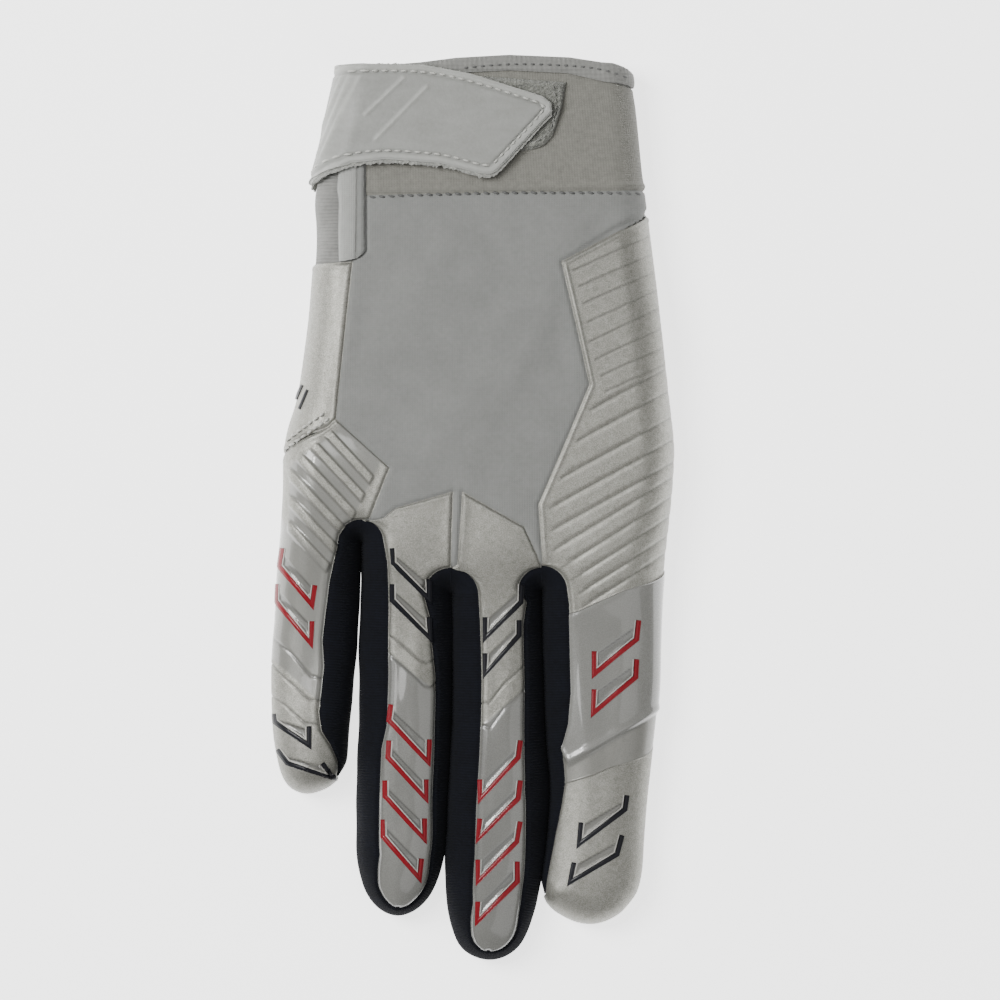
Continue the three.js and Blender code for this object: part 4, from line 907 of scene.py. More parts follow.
def quilted(grid, border):
    """A soft rolled rim and low dents."""
    x, y = grid[..., 0], grid[..., 1]
    dents = np.sin(y / 21 + x / 17) * np.sin(x / 13 - y / 52)
    return 0.00012 * (bell(border - 0.0012, 0.0004) + dents * smoothstep(border, 0.001, 0.004))


panel("ulnar_side_film", ulnar_grid, silver_film, ["ulnar_side_panel"], ("pinky",),
      quilted, plain_paint)

pinky_wall = wall_seam("pinky")[::-1]
ring_start = SIDE_WALLS["ring"]
crotch = (ring_start["place"] + ring_start["normal"] * ring_start["reach"][:, None])[:1]
run = RUNS["pinky"]
run_y = grid_of(run["place"])[:, 1]
wall_end = SIDE_WALLS["pinky"]["place"][0]
past = np.arange(len(run_y)) > np.linalg.norm(run["place"] - wall_end, axis=1).argmin()
round_tip = (run["place"] - run["normal"] * UNDER_REACH)[(run_y > 770) & ~past]
segments = [
    pair(join((FLAT["ulnar"][1] + knee) / 2, knee, heel), FLAT["ulnar"][1:], 110),
    pair(join(heel, outline("pinky", 470, 770, "left")), join(FLAT["ulnar"][3], crotch, pinky_wall), 210),
    pair(round_tip, join(pinky_wall[-1], wall_end), 40),
]
pinky_left = join(*[part[0][(1 if i else 0):] for i, part in enumerate(segments)])
pinky_right = join(*[part[1][(1 if i else 0):] for i, part in enumerate(segments)])

PINKY_BARS = {"slope": 1.07, "at": 395, "pitch": 27, "count": 6, "right": ((375, 478), (338, 552))}
BAR_HEIGHT = 0.0005


def bars(along, at, pitch, count, share):
    """Raised bars across a coordinate: 1 on the first share of each pitch, with rounded sides."""
    t = (along - at) / pitch
    phase = t - np.floor(t)
    ridge = smoothstep(phase, 0, 0.14) * (1 - smoothstep(phase, share - 0.16, share))
    return ridge * (t > 0) * (t < count)


def pinky_bars(grid):
    """Bars that run down to the right between the rim and the strip beside the knuckle, and the
    smooth ground between them."""
    x, y = grid[..., 0], grid[..., 1]
    along = y - PINKY_BARS["slope"] * (x - 300)
    (x0, y0), (x1, y1) = PINKY_BARS["right"]
    limit = x0 + (y - y0) * (x1 - x0) / (y1 - y0)
    left = np.interp(y, [430, 456, 490, 560], [300, 288, 287, 285])
    room = smoothstep(limit - x, 0, 4) * smoothstep(x - left, 0, 4) * smoothstep(y + 0.77 * x, 684, 692)
    ridge = bars(along, PINKY_BARS["at"], PINKY_BARS["pitch"], PINKY_BARS["count"], 0.62)
    last = PINKY_BARS["at"] + PINKY_BARS["pitch"] * PINKY_BARS["count"]
    return ridge * room, (1 - ridge) * room * (along < last)


def pinky_relief(grid, border):
    """The bars on top of the finger's film relief."""
    return finger_relief("pinky")(grid, border) + BAR_HEIGHT * pinky_bars(grid)[0]


def pinky_paint(grid, border):
    """Speckled at the bars and the tip, smooth light grey in between, with painted shade along the bars'
    sides.
    """
    paint = finger_paint("pinky")(grid, border)
    x, y = grid[..., 0], grid[..., 1]
    middle_part = below(grid, ((281, 520), (340, 575)), 8) * (1 - below(grid, ((273, 660), (318, 700)), 2))
    ridge, ground = pinky_bars(grid)
    paint["gloss"] = np.maximum.reduce([paint["gloss"], 0.7 * middle_part, 0.75 * ground])
    # Painted shade along the sides of the raised bars.
    paint["shade"] = np.clip(paint["shade"] - 0.2 * ridge * (1 - ridge) * 4, 0, 1)
    return paint


panel("pinky_film", ladder(pinky_left, pinky_right, 84), silver_film, ["pinky_back_panel"],
      ("pinky",), pinky_relief, pinky_paint)

# Index side panel, finger back and fingertip. Real pieces: printed knit round the index side of the
# hand with fine grooves and broad raised bars, then a thick glossy film over the finger with a
# rolled lower lip and a matt band, and a satin fingertip.

GROOVES = [
    ((574, 271), (648, 237)), ((580, 287), (651, 255)), ((584, 304), (653, 273)), ((588, 323), (656, 291)),
    ((589, 343), (658, 309)), ((596, 360), (661, 329)), ((602, 376), (663, 348)), ((606, 392), (664, 365)),
]
BAR_STARTS = [
    (590, 410), (577, 441), (561, 478), (550, 508), (552, 530), (553.5, 550), (561, 567.5), (571, 580),
    (579, 593), (582, 607), (587, 626),
]
BAR_SLOPES = ((410, 530, 560), (-0.53, -0.55, -0.63))
GLOSS_LIP = [(561, 752), (569, 766), (658, 714)]

index_seam = wall_seam("index")
index_y = grid_of(SIDE_WALLS["index"]["place"])[:, 1]


def index_left(low, high):
    """The seam on the index finger's left between two grid heights, with a point at each of them
    that lies below the crotch."""
    at_height = lambda y: [np.interp(y, index_y[16:], index_seam[16:, k]) for k in (0, 1)]
    line = index_seam[(index_y > low) & (index_y < high)]
    first, last = index_y[16], index_y[-1]
    line = join(at_height(low), line) if low > first else line
    return join(line, at_height(high)) if high < last else line


BAR_LINES = [((x, y), (690, y + (690 - x) * np.interp(y, *BAR_SLOPES))) for x, y in BAR_STARTS]


def bar_distance(grid):
    """Distance from the nearest groove between the broad bars, in grid units."""
    return np.min([line_distance(grid, line) for line in BAR_LINES], axis=0)


def index_grooves(grid):
    """1 on the fine grooves of the upper part."""
    out = np.zeros(grid.shape[:-1])
    for line in GROOVES:
        out = np.maximum(out, bell(line_distance(grid, line), 0.9))
    return out


def index_relief(grid, border):
    """Broad bars between rounded grooves, fine upper grooves and a rolled rim."""
    rim = 0.00022 * bell(border - 0.001, 0.0004)
    away = bar_distance(grid)
    flat_side = smoothstep(border, 0.0015, 0.006)
    return rim - 0.00034 * bell(away, 2.4) * flat_side - 0.0002 * index_grooves(grid)


def index_paint(grid, border):
    """Speckled film with painted shade: darker in the grooves and at the feet of the bars, a touch lighter
    away from the grooves, and darker towards the cuff.
    """
    away = bar_distance(grid)
    groove = bell(away, 0.9)
    lower_gloss = below(grid, ((587, 627), (690, 562)), 1)
    # Painted shade in the grooves, and painted light a touch away from them.
    shade = 0.97 - 0.35 * index_grooves(grid) - 0.45 * groove + 0.03 * smoothstep(away, 2, 5)
    # Painted shade: darker towards the cuff, lighter towards the finger.
    shade = shade * np.interp(grid[..., 1], (211, 330, 420, 540), (0.84, 0.87, 0.95, 1.03))
    return {"gloss": lower_gloss, "shade": np.clip(shade, 0, 1)}


edge_line = FLAT["index_edge"]
side_segments = [
    pair(edge_line[[5, 4, 3]], outline("index", 211, 400, "right"), 130),
    pair(join(edge_line[[3, 2, 1, 0]], index_left(0, 614)), outline("index", 400, 565, "right"), 170),
]
side_left = join(side_segments[0][0], side_segments[1][0][1:])
side_right = join(side_segments[0][1], side_segments[1][1][1:])
panel("index_side_film", ladder(side_left, side_right, 92), silver_film, ["index_side_panel"],
      ("index",), index_relief, index_paint, joined=(False, True))

left, right = pair(index_left(614, 784), outline("index", 565, 740, "right"), 130)


def gloss_edge(grid):
    """Signed distance below the rolled lip of the glossy film, in grid units."""
    y = np.interp(grid[..., 0], [p[0] for p in GLOSS_LIP], [p[1] for p in GLOSS_LIP])
    return grid[..., 1] - y


def gloss_relief(grid, border):
    """A thick film that ends in a rounded lip, insets and soft dents."""
    top = grid[..., 1] - 614 + (grid[..., 0] - 552) * 49 / 112
    step = (1 - smoothstep(gloss_edge(grid), -5, 1)) * smoothstep(top, 0, 14)
    lip = 2 * bell(gloss_edge(grid) + 6, 3.5)
    dent = bell(grid[..., 0] - 606, 9) * smoothstep(grid[..., 1], 620, 660)
    return 0.0004 * step + 0.00015 * lip - 0.00022 * inset_depth(grid, "index") - 0.0001 * dent


def gloss_paint(grid, border):
    """Glossy above the lip and matt grey below it, with painted shade under the lip and round the pressed
    insets.
    """
    above = 1 - smoothstep(gloss_edge(grid), -1, 2)
    inset = inset_depth(grid, "index")
    # Painted shade under the rolled lip.
    foot = bell(gloss_edge(grid) - 1, 1.2)
    shade = 1 - 0.14 * (1 - above) - 0.22 * inset - 0.45 * inset_rim(grid, "index") - 0.2 * foot
    return {"gloss": 0.55 + 0.45 * above, "shade": shade}


panel("index_finger_film", ladder(left, right, 84), silver_film, ["index_finger_back"],
      ("index",), gloss_relief, gloss_paint, joined=(True, True))

run = RUNS["index"]
run_y = grid_of(run["place"])
lowest = int(run_y[:, 1].argmax())
outer_line = run["place"] - run["normal"] * UNDER_REACH
wall_stop = np.linalg.norm(run["place"] - SIDE_WALLS["index"]["place"][-1], axis=1).argmin()
tip_left = join(index_left(784, 1000), outer_line[wall_stop + 1 : lowest + 1])
tip_right = join(outline("index", 740, 905, "right"), outer_line[lowest : lowest + 8][::-1])
left, right = pair(tip_left, tip_right, 150)


def tip_relief(grid, border):
    """Insets and a soft crumple across the fingertip."""
    x, y = grid[..., 0], grid[..., 1]
    crumple = np.sin((y - 0.35 * x) / 6.5) * bell(y - 0.3 * x - 715, 14)
    soft = np.sin(x / 17 + 0.6) * np.sin(y / 23)
    dents = (0.00012 * crumple + 0.0001 * soft) * smoothstep(border, 0.001, 0.004)
    return dents - 0.0002 * inset_depth(grid, "index")


def tip_paint(grid, border):
    """Satin speckle, a little smoother in the insets, with painted shade: darker all over and round the
    insets.
    """
    inset = inset_depth(grid, "index")
    # Painted shade: the whole fingertip darker, and a dark line round the insets.
    return {"gloss": 0.55 * inset, "shade": 0.87 - 0.18 * inset - 0.4 * inset_rim(grid, "index")}


panel("index_fingertip_film", ladder(left, right, 84), silver_film, ["index_fingertip"],
      ("index",), tip_relief, tip_paint, joined=(True, False))

# Fourchettes. Real pieces: puffy navy walls of fine rib knit between the fingers, each one strip
# that turns round the crotch and meets the next one in a crease.

FREE_ENDS = {"pinky": 0, "index": -1}
navy_knit = knit("navy rib knit", (16, 19, 29), (5, 6, 10), 0.0007, 0.00012, 0.003, 0.95, 0.02, 1.0, 0.6)

for name, side in SIDE_WALLS.items():
    reach = side["reach"]
    t = np.linspace(0, 1, 34)
    distance = reach[:, None] * (1 - t) - UNDER_REACH * t
    grow = lambda v: np.repeat(v[:, None], len(t), 1)
    place, normal, radius = grow(side["place"]), grow(side["normal"]), grow(side["radius"])
    width = reach[:, None] + UNDER_REACH
    edge = np.minimum(t * width, (1 - t) * width)
    seen_y = grid_of(place)[..., 1]
    puff = 0.00012 * np.sin(seen_y / 11 + 3 * t) * np.sin(seen_y / 29 + 1)
    length = np.concatenate([[0], np.cumsum(np.linalg.norm(np.diff(side["place"], axis=0), axis=1))])
    bulge = 0.0004 + 0 * seen_y
    if name in FREE_ENDS:
        bulge = bulge - 0.0008 * (1 - smoothstep(np.abs(length - length[FREE_ENDS[name]]), 0, 0.005))[:, None]
    if name in ("pinky", "ring"):
        facing = normal[..., 0] * (1 if name == "pinky" else -1) > 0
        bulge = bulge + 0.0006 * smoothstep(seen_y, 540, 580) * (1 - smoothstep(seen_y, 640, 660)) * facing
    offset = puff + bulge * bell(distance, 0.0015) - tucked(edge)
    outer = edge_point(place, normal, radius, distance, offset, 1)
    inner = edge_point(place, normal, radius, distance, np.full(distance.shape, -WALL), 1)
    uv = np.stack([distance, np.repeat(length[:, None], len(t), 1)], -1)
    shell(f"{name}_fourchette_knit", outer, inner, navy_knit, [f"{name}_fourchette"], None, uv)

# Bracket stripes. Real pieces: red and navy film strokes printed thickly on the fingers, each with
# a thin light line along its inside.


def print_film(name, colour, rough=0.3):
    """A thick glossy print with faint grain."""
    material, tree, links, bsdf = shader(name)
    grain = noise(tree, 0.0005, 2, 0.6)
    dark = tuple(v * 0.78 for v in linear(*colour))
    links.new(mix(tree, grain, dark, linear(*colour)), bsdf.inputs["Base Color"])
    bsdf.inputs["Roughness"].default_value = rough
    bsdf.inputs["Specular IOR Level"].default_value = 0.2
    bsdf.inputs["Coat Weight"].default_value = 0.15
    bsdf.inputs["Coat Roughness"].default_value = 0.08
    bump(tree, links, bsdf, grain, 0.00003)
    return material


PRINTS = {
    "red": print_film("red print", (142, 12, 28)),
    "navy": print_film("navy print", (12, 13, 22), 0.4),
    "light": print_film("light outline print", (214, 212, 206), 0.35),
}
RELIEFS = {
    "pinky": pinky_relief,
    "ring": finger_relief("ring"),
    "middle": finger_relief("middle"),
    "index": lambda grid, border: np.where(
        grid[..., 1] < 770, gloss_relief(grid, border), tip_relief(grid, border)),
}
PRINT_HEIGHT = 0.0003


def offset_line(line, distance):
    """A line moved sideways, mitred at its corners."""
    line = np.asarray(line, float)
    step = unit_vector(np.diff(line, axis=0))
    before, after = np.vstack([step[:1], step]), np.vstack([step, step[-1:]])
    mitre = unit_vector(before + after)
    stretch = 1 / np.maximum(0.45, (mitre * before).sum(-1, keepdims=True))
    return line + np.stack([-mitre[:, 1], mitre[:, 0]], -1) * distance * stretch


def ribbon(line, width, aside=0.0):
    """Grid places of a ribbon along a line: rows along it, five columns across."""
    line = np.asarray(line, float)
    edges = [offset_line(line, aside + width * k) for k in (-0.5, -0.25, 0, 0.25, 0.5)]
    counts = [max(1, int(np.linalg.norm(b - a) / 1.2)) for a, b in zip(line[:-1], line[1:])]
    rows = []
    for i, count in enumerate(counts):
        t = (np.arange(count) / count)[:, None, None]
        a = np.stack([edge[i] for edge in edges])
        b = np.stack([edge[i + 1] for edge in edges])
        rows.append(a * (1 - t) + b * t)
    rows.append(np.stack([edge[-1] for edge in edges])[None])
    return np.concatenate(rows)


def print_strip(name, grid, finger, colour, height):
    """A thin strip of print on a finger's film, rounded at its long sides."""
    border = np.full(grid.shape[:-1], 0.01)
    base = RELIEFS[finger](grid, border)
    flat = flat_of(grid, (finger,))
    crown = height * np.array([0.35, 1, 1, 1, 0.35])
    outer = surface(flat, base + crown, 1, (finger,))
    inner = surface(flat, base - 0.00015, 1, (finger,))
    return shell(name, outer, inner, PRINTS[colour], [], None, flat)


for number, (finger, colour, *corners) in enumerate(STROKES):
    corners = np.array(corners, float)
    centre = corners.mean(0)
    inward = np.sign(np.cross(corners[1] - corners[0], centre - corners[0]))
    print_strip(f"{finger}_{colour}_stroke_{number}", ribbon(corners, STROKE_WIDTH), finger, colour,
                PRINT_HEIGHT)
    print_strip(f"{finger}_outline_{number}", ribbon(corners, 0.8, inward * (STROKE_WIDTH / 2 + 0.9)), finger,
                "light", PRINT_HEIGHT * 0.5)

for number, line in enumerate((((295.5, 399), (302, 385)), ((299, 409), (307.5, 390)))):
    print_strip(f"ulnar_navy_stroke_{number}", ribbon(line, 2.6), "pinky", "navy", PRINT_HEIGHT)

# Cuff. Real pieces: a band of brushed stretch knit round the wrist, open at the vent on the little
# finger's side, with a thicker turned and stitched hem at the mouth.

cuff_knit = knit("brushed cuff knit", (146, 145, 137), (118, 117, 110), 0.0006, 0.00009,
                 0.002, 0.92, 0.25, 0.0, 0.8)
hem_knit = knit("ribbed hem knit", (158, 158, 154), (128, 128, 124), 0.0011, 0.00016,
                 0.003, 0.9, 0.2, 0.2, 0.5)
HEM = ((330, 84), (430, 75), (513, 71), (572, 74), (633, 88))
MOUTH = ((330, 70), (422, 63), (458, 58.5), (513, 55.5), (575, 58), (615, 64), (634, 73))


VENT_X = 366


def row_y(rows, x):
    """Grid height of a line at x."""
    return np.interp(x, [p[0] for p in rows], [p[1] for p in rows])


def edge_x(name, side, y):
    """Grid x of the outline on one side at grid height y."""
    line = grid_of(outline(name, 35, 300, side, 0.0))
    return np.interp(y, line[:, 1], line[:, 0])


BAND_COLUMNS = (200, 90)


def band(low, high, rows):
    """Grids of flat points of a band round the cuff, over the back and under the palm side."""
    t = np.linspace(0, 1, rows + 1)[:, None]
    grids = []
    for face, count in zip((1, -1), BAND_COLUMNS):
        across = np.linspace(0, 1, count + 1)[None]
        guess = VENT_X + (637 - VENT_X) * (across if face > 0 else 1 - across)
        y = low(guess) * (1 - t) + high(guess) * t
        right = edge_x("index", "right", y)
        left = VENT_X + 0 * y if face > 0 else edge_x("pinky", "left", y) + 13.2
        x = left + (right - left) * across if face > 0 else right + (left - right) * across
        grids.append(plan(np.stack([x, y], -1)))
    return grids


def round_shell(name, grids, offset, thickness, material, nodes):
    """A closed sheet over a band's two grids. offset(grid, face, row share) is how far it stands out."""
    outer, inner, uv = [], [], []
    for flat, face in zip(grids, (1, -1)):
        share = np.linspace(0, 1, len(flat))[:, None] + 0 * flat[..., 0]
        out = offset(grid_of(flat), face, share)
        cut = slice(None) if face > 0 else slice(1, None)
        outer.append(surface(flat, out, face)[:, cut])
        inner.append(surface(flat, np.full(out.shape, offset.base - thickness), face)[:, cut])
        across = np.concatenate([[0], np.cumsum(np.linalg.norm(np.diff(outer[-1][0], axis=0), axis=1))])
        start = uv[0][0, -1, 0] if uv else 0
        uv.append(np.stack([across[None] + start + 0 * out[:, cut], flat[:, cut, 1]], -1))
    outer, inner, uv = (np.concatenate(v, 1) for v in (outer, inner, uv))
    return shell(name, outer, inner, material, nodes, None, uv)


CUFF_HEIGHT = 0.031


def cuff_offset(grid, face, share):
    """The band's edges tuck in; a soft ridge runs above the lower seam and the hem presses in."""
    edge = np.minimum(share, 1 - share) * CUFF_HEIGHT
    ridge = 0.00035 * bell(share * CUFF_HEIGHT - 0.0016, 0.0007) if face > 0 else 0 * share
    waves = 0.00012 * np.sin(grid[..., 0] / 21 + grid[..., 1] / 34) * smoothstep(edge, 0.001, 0.006)
    return ridge + (waves if face > 0 else 0) - tucked(edge, 0.0006)


def hem_offset(grid, face, share):
    """The hem: a turned edge that is fullest in its middle, ribbed along the mouth."""
    full = 0.0005 if face > 0 else 0.0003
    ribs = 0.0001 * np.sin(grid[..., 0] * 2 * math.pi / 4.4) * smoothstep(share, 0.55, 0.9)
    return full + (0.0005 if face > 0 else 0) * np.sin(math.pi * share) ** 0.6 - 0.0003 + ribs * (face > 0)


cuff_offset.base = 0.0
hem_offset.base = 0.0002
hem_y, mouth_y = (lambda x: row_y(HEM, x)), (lambda x: row_y(MOUTH, x))
round_shell("cuff_cloth", band(cuff_seam_y, hem_y, 60), cuff_offset, WALL, cuff_knit,
            ["cuff_band"])
round_shell("cuff_hem", band(hem_y, mouth_y, 22), hem_offset, 0.0016, hem_knit,
            ["cuff_binding"])

# Wrist vent. Real pieces: a ribbed elastic gusset in the slit of the cuff, a light folded tape along
# the slit's edge and a corded piping where the back panel starts.

gusset_knit = knit("ribbed gusset", (158, 158, 154), (118, 118, 115), 0.0009, 0.00018,
                 0.003, 0.9, 0.2, 1.0, 0.4)
tape_knit = knit("light edge tape", (186, 187, 183), (160, 161, 157), 0.0005, 0.00006,
                 0.004, 0.7, 0.2, 0.0, 0.5)
VENT_TOP, VENT_LOW = 74, 262
STRIP_TUCK = 0.0003


def strip(name, left, right, columns, offset, thickness, material, nodes):
    """A narrow panel between two grid lines."""
    left, right = pair(left, right, 150)
    flat = ladder(left, right, columns)
    share = np.linspace(0, 1, columns + 1)[None] + np.zeros((151, 1))
    return panel(name, flat, material, nodes, ("pinky",), lambda grid, border: offset(share), None, 0.0,
                 thickness, STRIP_TUCK)


strip("vent_gusset_knit", outline("pinky", VENT_TOP, VENT_LOW + 8, "left"),
      flat_of([(352, VENT_TOP), (350, 130), (349, 190), (349, VENT_LOW + 8)]), 30,
      lambda share: -0.0007 + 0 * share, WALL, gusset_knit, ["vent_gusset"])
strip("vent_tape", flat_of([(348, VENT_TOP), (342, 130), (337, 190), (339, VENT_LOW)]),
      flat_of([(358, VENT_TOP), (358, 130), (358, 190), (356.5, VENT_LOW - 3)]), 22,
      lambda share: 0.0004 + 0.0006 * np.sin(math.pi * share) ** 0.5, 0.0016, tape_knit,
      ["vent_binding"])
strip("vent_cord", flat_of([(356, VENT_TOP), (356, 130), (355.6, 190), (355.6, VENT_LOW - 2)]),
      flat_of([(366.5, VENT_TOP), (366.5, 130), (366, 190), (366.5, VENT_LOW - 11)]), 16,
      lambda share: 0.0011 * np.sin(math.pi * share) ** 0.7, 0.0013, back_knit,
      ["vent_piping"])

# Loop patch. Real piece: a patch of brushed loop pile sewn on the cuff, which the strap's hooks grip.


def pile(name, colour):
    """Brushed loops: coarse tangled noise in tone and height."""
    material, tree, links, bsdf = shader(name)
    curls = noise(tree, 0.0009, 5, 0.75)
    fine = noise(tree, 0.0003, 3, 0.8)
    tone = contrast(tree, calc(tree, "ADD", curls, fine), 1.0, 2.2)
    light, dark = (tuple(v * k for v in linear(*colour)) for k in (1.3, 0.6))
    links.new(mix(tree, tone, dark, light), bsdf.inputs["Base Color"])
    bsdf.inputs["Roughness"].default_value = 0.95
    bsdf.inputs["Sheen Weight"].default_value = 0.4
    bump(tree, links, bsdf, tone, 0.0004)
    return material


loop_pile = pile("brushed loop pile", (146, 147, 138))
PATCH_UPPER = [(455, 78), (485, 77), (566, 83)]
PATCH_LOWER = [(455, 160), (533, 150), (544, 146), (553, 136), (562, 108)]
patch_left, patch_right = pair(flat_of(PATCH_UPPER), flat_of(PATCH_LOWER), 150)
seeded = np.random.default_rng(7)


def fuzz_relief(grid, border):
    """Uneven loops: seeded random heights, blurred once along rows and columns."""
    rough = seeded.random(grid.shape[:-1])
    for axis in (0, 1):
        rough = (rough + np.roll(rough, 1, axis) + np.roll(rough, -1, axis)) / 3
    ridge = bell(border - 0.0012, 0.0006)
    return 0.001 * (rough - 0.5) + 0.0004 * ridge


panel("loop_patch_pile", ladder(patch_left, patch_right, 130), loop_pile, ["loop_patch"],
      relief=fuzz_relief, proud=0.001, thickness=0.0009, tuck=0.0006)

# Wrist strap. Real piece: a pull tab of synthetic leather over a felt backing, anchored on the
# little finger's side, with a bound and stitched border and pressed diagonal lines.

STRAP_UPPER = [(350, 66), (365, 64.5), (422, 65.5), (470, 74.5), (542, 97), (551, 104), (552, 112)]
STRAP_LOWER = [(322, 178), (350, 164), (386, 160), (440, 164), (479, 174), (490, 175), (497, 172), (552, 113)]
STRAP_LINES = [
    ((427, 88), (376, 140)), ((404, 79), (366, 115)), ((351, 77), (316, 153)), ((343, 78), (313, 140)),
    ((360, 78), (322, 156)),
]
STRAP_HEM = 8
STRAP_THICK = 0.0013
FELT = 0.0004
STRAP_EDGE = [(335, 68), *STRAP_UPPER, *STRAP_LOWER[::-1], (306, 186)]


def leather(name, light, dark):
    """Brushed silver synthetic leather: fine directionless grain and faint streaks."""
    material, tree, links, bsdf = shader(name)
    grain = noise(tree, 0.0005, 4, 0.7)
    streaks = noise(tree, 0.004, 3, 0.5, stretch=(1, 3, 1))
    tone = contrast(tree, calc(tree, "ADD", grain, streaks), 1.0, 1.1)
    pressed = tree.nodes.new("ShaderNodeAttribute")
    pressed.attribute_name = "shade"
    colour = mix(tree, tone, linear(*dark), linear(*light))
    # The shade attribute mixes in dark grey: lighter border and lines, and painted shade in the stitch groove.
    links.new(mix(tree, pressed.outputs["Fac"], linear(96, 97, 94), colour), bsdf.inputs["Base Color"])
    links.new(calc(tree, "MULTIPLY_ADD", tone, -0.1, 0.55), bsdf.inputs["Roughness"])
    bsdf.inputs["Sheen Weight"].default_value = 0.1
    bump(tree, links, bsdf, grain, 0.00007)
    return material


strap_leather = leather("silver synthetic leather", (184, 185, 180), (160, 161, 155))
strap_end = outline("pinky", 68, 187, "left", UNDER_RADIUS * 35 / 90)
strap_top, strap_bottom = pair(
    join(strap_end[0], flat_of(STRAP_UPPER)), join(strap_end[-1], flat_of(STRAP_LOWER)), 190)
strap_flat = ladder(strap_top, strap_bottom, 84)


def strap_lift(flat):
    """How high the strap's underside lies: on the cuff at its fold and on the loops further in."""
    _, _, _, distance = nearest(flat, ("pinky",))
    return 0.0003 + 0.0015 * smoothstep(distance, 0.0005, 0.0065)


def strap_detail(grid):
    """A border pressed in by its stitches, diagonal lines and soft creases near the fold."""
    edge = line_distance(grid, STRAP_EDGE)
    groove = bell(edge - STRAP_HEM, 1.6)
    lines = sum(bell(line_distance(grid, line), 1.8) for line in STRAP_LINES)
    x, y = grid[..., 0], grid[..., 1]
    creases = np.sin((x + 0.5 * y) / 3.3) * bell(x - 328, 22)
    rim = smoothstep(edge, 0, 2.6)
    return -0.0004 * groove + 0.00025 * lines + 0.00009 * creases - 0.0005 * (1 - rim) ** 2


def strap_shade(grid):
    """Light at the border and the diagonal lines, darker on the panel, and darkest in the stitch line, which
    is painted shade in its groove.
    """
    edge = line_distance(grid, STRAP_EDGE)
    lines = sum(bell(line_distance(grid, line), 2.2) for line in STRAP_LINES)
    middle_part = smoothstep(edge, STRAP_HEM, STRAP_HEM + 3) * (1 - np.minimum(lines, 1))
    # Painted shade in the stitch groove.
    return 1 - 0.32 * middle_part - 0.35 * bell(edge - STRAP_HEM, 1.5)


strap_grid = grid_of(surface(strap_flat, 0.002))
lift = strap_lift(strap_flat)
strap_face = surface(strap_flat, lift + STRAP_THICK + strap_detail(strap_grid))
shell("strap_leather", strap_face, surface(strap_flat, lift + FELT), strap_leather,
      ["wrist_strap"], {"shade": strap_shade(strap_grid)}, strap_flat)
felt = pile("strap felt backing", (186, 187, 179))
ragged = 0.00018 * seeded.standard_normal(strap_flat.shape[:2])[..., None] * np.array([0.4, 1.0])
ragged[:, 1:-1] *= 0
felt_flat = strap_flat + ragged
felt_flat[:, -1] += np.array([0.0, -0.0009])
shell("strap_felt", surface(felt_flat, lift + FELT), surface(felt_flat, lift), felt, [],
      None, felt_flat)

# Palm and thumb. Real pieces: a tacky coated palm with a fine printed grip, and the thumb's sleeve
# folded under it. They face the floor, so their solids are dressed as they are.


def grip(name):
    """Coated palm cloth: hexagon-like cells of grip print, faint stains and fine pores."""
    material, tree, links, bsdf = shader(name)
    coordinates = tree.nodes.new("ShaderNodeTexCoord")
    cells = tree.nodes.new("ShaderNodeTexVoronoi")
    cells.inputs["Scale"].default_value = 420
    links.new(coordinates.outputs["Object"], cells.inputs["Vector"])
    grain = noise(tree, 0.0004, 3, 0.7)
    stains = noise(tree, 0.01, 3, 0.5)
    tone = calc(tree, "ADD", calc(tree, "MULTIPLY", cells.outputs["Distance"], 0.5),
                calc(tree, "MULTIPLY", stains, 0.5), clamp=True)
    links.new(mix(tree, tone, linear(178, 179, 173), linear(205, 206, 200)), bsdf.inputs["Base Color"])
    bsdf.inputs["Roughness"].default_value = 0.6
    bsdf.inputs["Coat Weight"].default_value = 0.2
    bump(tree, links, bsdf, calc(tree, "ADD", cells.outputs["Distance"], grain), 0.00012)
    return material


palm_grip = grip("palm grip")
for node in ("palm_panel", "thumb_front", "thumb_back"):
    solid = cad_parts[node]
    solid.data.materials.clear()
    solid.data.materials.append(palm_grip)

# Seam threads. Real pieces: lockstitches of grey thread along the cuff seam, the hem, the strap's
# border, the loop patch and the double seam at the heel.


def thread(name, colour):
    """Twisted thread: fine diagonal plies."""
    material, tree, links, bsdf = shader(name)
    plies = noise(tree, 0.0002, 2, 0.5, stretch=(1, 2, 1))
    dark = tuple(v * 0.7 for v in linear(*colour))
    links.new(mix(tree, plies, dark, linear(*colour)), bsdf.inputs["Base Color"])
    bsdf.inputs["Roughness"].default_value = 0.7
    bump(tree, links, bsdf, plies, 0.00005)
    return material


grey_thread = thread("grey thread", (150, 150, 145))
light_thread = thread("light thread", (214, 214, 207))


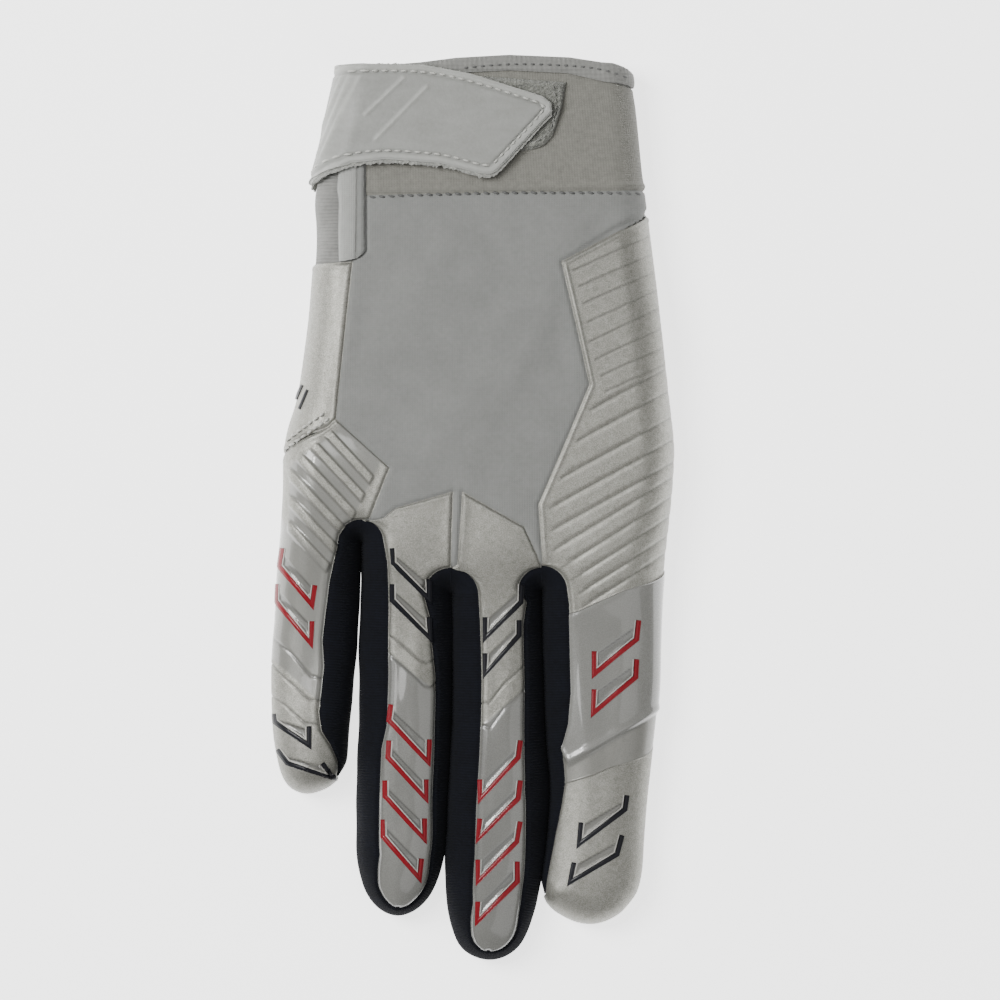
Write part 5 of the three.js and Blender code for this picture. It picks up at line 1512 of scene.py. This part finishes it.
def stitches(name, line, offset, material=grey_thread, pitch=9.5, share=0.8, width=2.3, zigzag=0.0,
             names=ALL):
    """Stitches along a grid line: stretched balls that dip into the cloth at both ends."""
    line = smooth(line, 3)
    count = int(np.linalg.norm(np.diff(line, axis=0), axis=1).sum() / pitch)
    stops = even(line, count)
    middle, half = (stops[1:] + stops[:-1]) / 2, np.diff(stops, axis=0) / 2 * share
    tilt = np.stack([-half[:, 1], half[:, 0]], -1) * zigzag
    half = half + tilt
    u = np.linspace(-1, 1, 9)
    angle = np.linspace(0, 2 * math.pi, 9)[:-1]
    side = unit_vector(np.stack([-half[:, 1], half[:, 0]], -1))
    thick = width / 2 * np.sqrt(np.maximum(1 - u**2, 0.03))
    grid = (middle[:, None, None] + half[:, None, None] * u[None, :, None, None]
            + side[:, None, None] * (thick[:, None] * np.cos(angle))[None, ..., None])
    rise = thick[:, None] * UNIT[0] * (np.sin(angle)[None] + 0.25) - 0.00035 * (u[:, None] ** 2)
    flat = flat_of(grid, names)
    lift_here = offset(grid) if callable(offset) else offset
    points = surface(flat, lift_here + rise[None], 1, names)
    around = grid_faces(9, 8)
    at = np.arange(8) * 8
    seam = np.stack([at + 7, at + 15, at + 8, at], -1)
    one = np.concatenate([around, seam])
    faces = (one[None] + (np.arange(count) * 72)[:, None, None]).reshape(-1, 4)
    return add_mesh(name, points, faces, material, [])


dark_thread = thread("slate thread", (108, 109, 107))
# Slate thread: its own colour, chosen dark here also as painted shade along the seam's tuck.
stitches("cuff_seam_thread", [(368, 198), (410, 196), (500, 193.5), (578, 193.5), (643, 194)], 0.0,
         dark_thread, pitch=9.4, share=0.72, width=2.6, zigzag=0.3)
stitches("hem_thread", [(462, 69), (512, 65), (568, 66.5), (600, 70), (627, 79)], 0.0008,
         dark_thread, pitch=8, share=0.6, width=2.0)
strap_top_of = lambda grid: strap_lift(flat_of(grid)) + STRAP_THICK
strap_thread_line = offset_line([(336, 70), *STRAP_UPPER[:-1]], 7.5)
stitches("strap_upper_thread", strap_thread_line[1:], strap_top_of, light_thread)
stitches("strap_tip_thread", [(541, 106), (543, 112), (493, 165)], strap_top_of,
         light_thread, pitch=8)
stitches("strap_lower_thread", offset_line([(312, 182), *STRAP_LOWER[:-2]], -8.5), strap_top_of,
         light_thread)
stitches("loop_patch_thread", [(553, 86), (556, 108), (548, 134), (536, 142)], 0.0016,
         pitch=6, width=1.2)
HEEL_ROWS = {"upper": [(286, 442), (304, 428), (325, 413)], "lower": [(284, 451), (305, 436), (330, 418)]}
for row_name, row_points in HEEL_ROWS.items():
    stitches(f"heel_thread_{row_name}", row_points, 0.0004, light_thread, 6.5, width=2.6,
             names=("pinky",))
stitches("vent_thread", [(359.5, 130), (359, 190), (360, 250)], 0.0008, grey_thread,
         8, width=1.2, names=("pinky",))
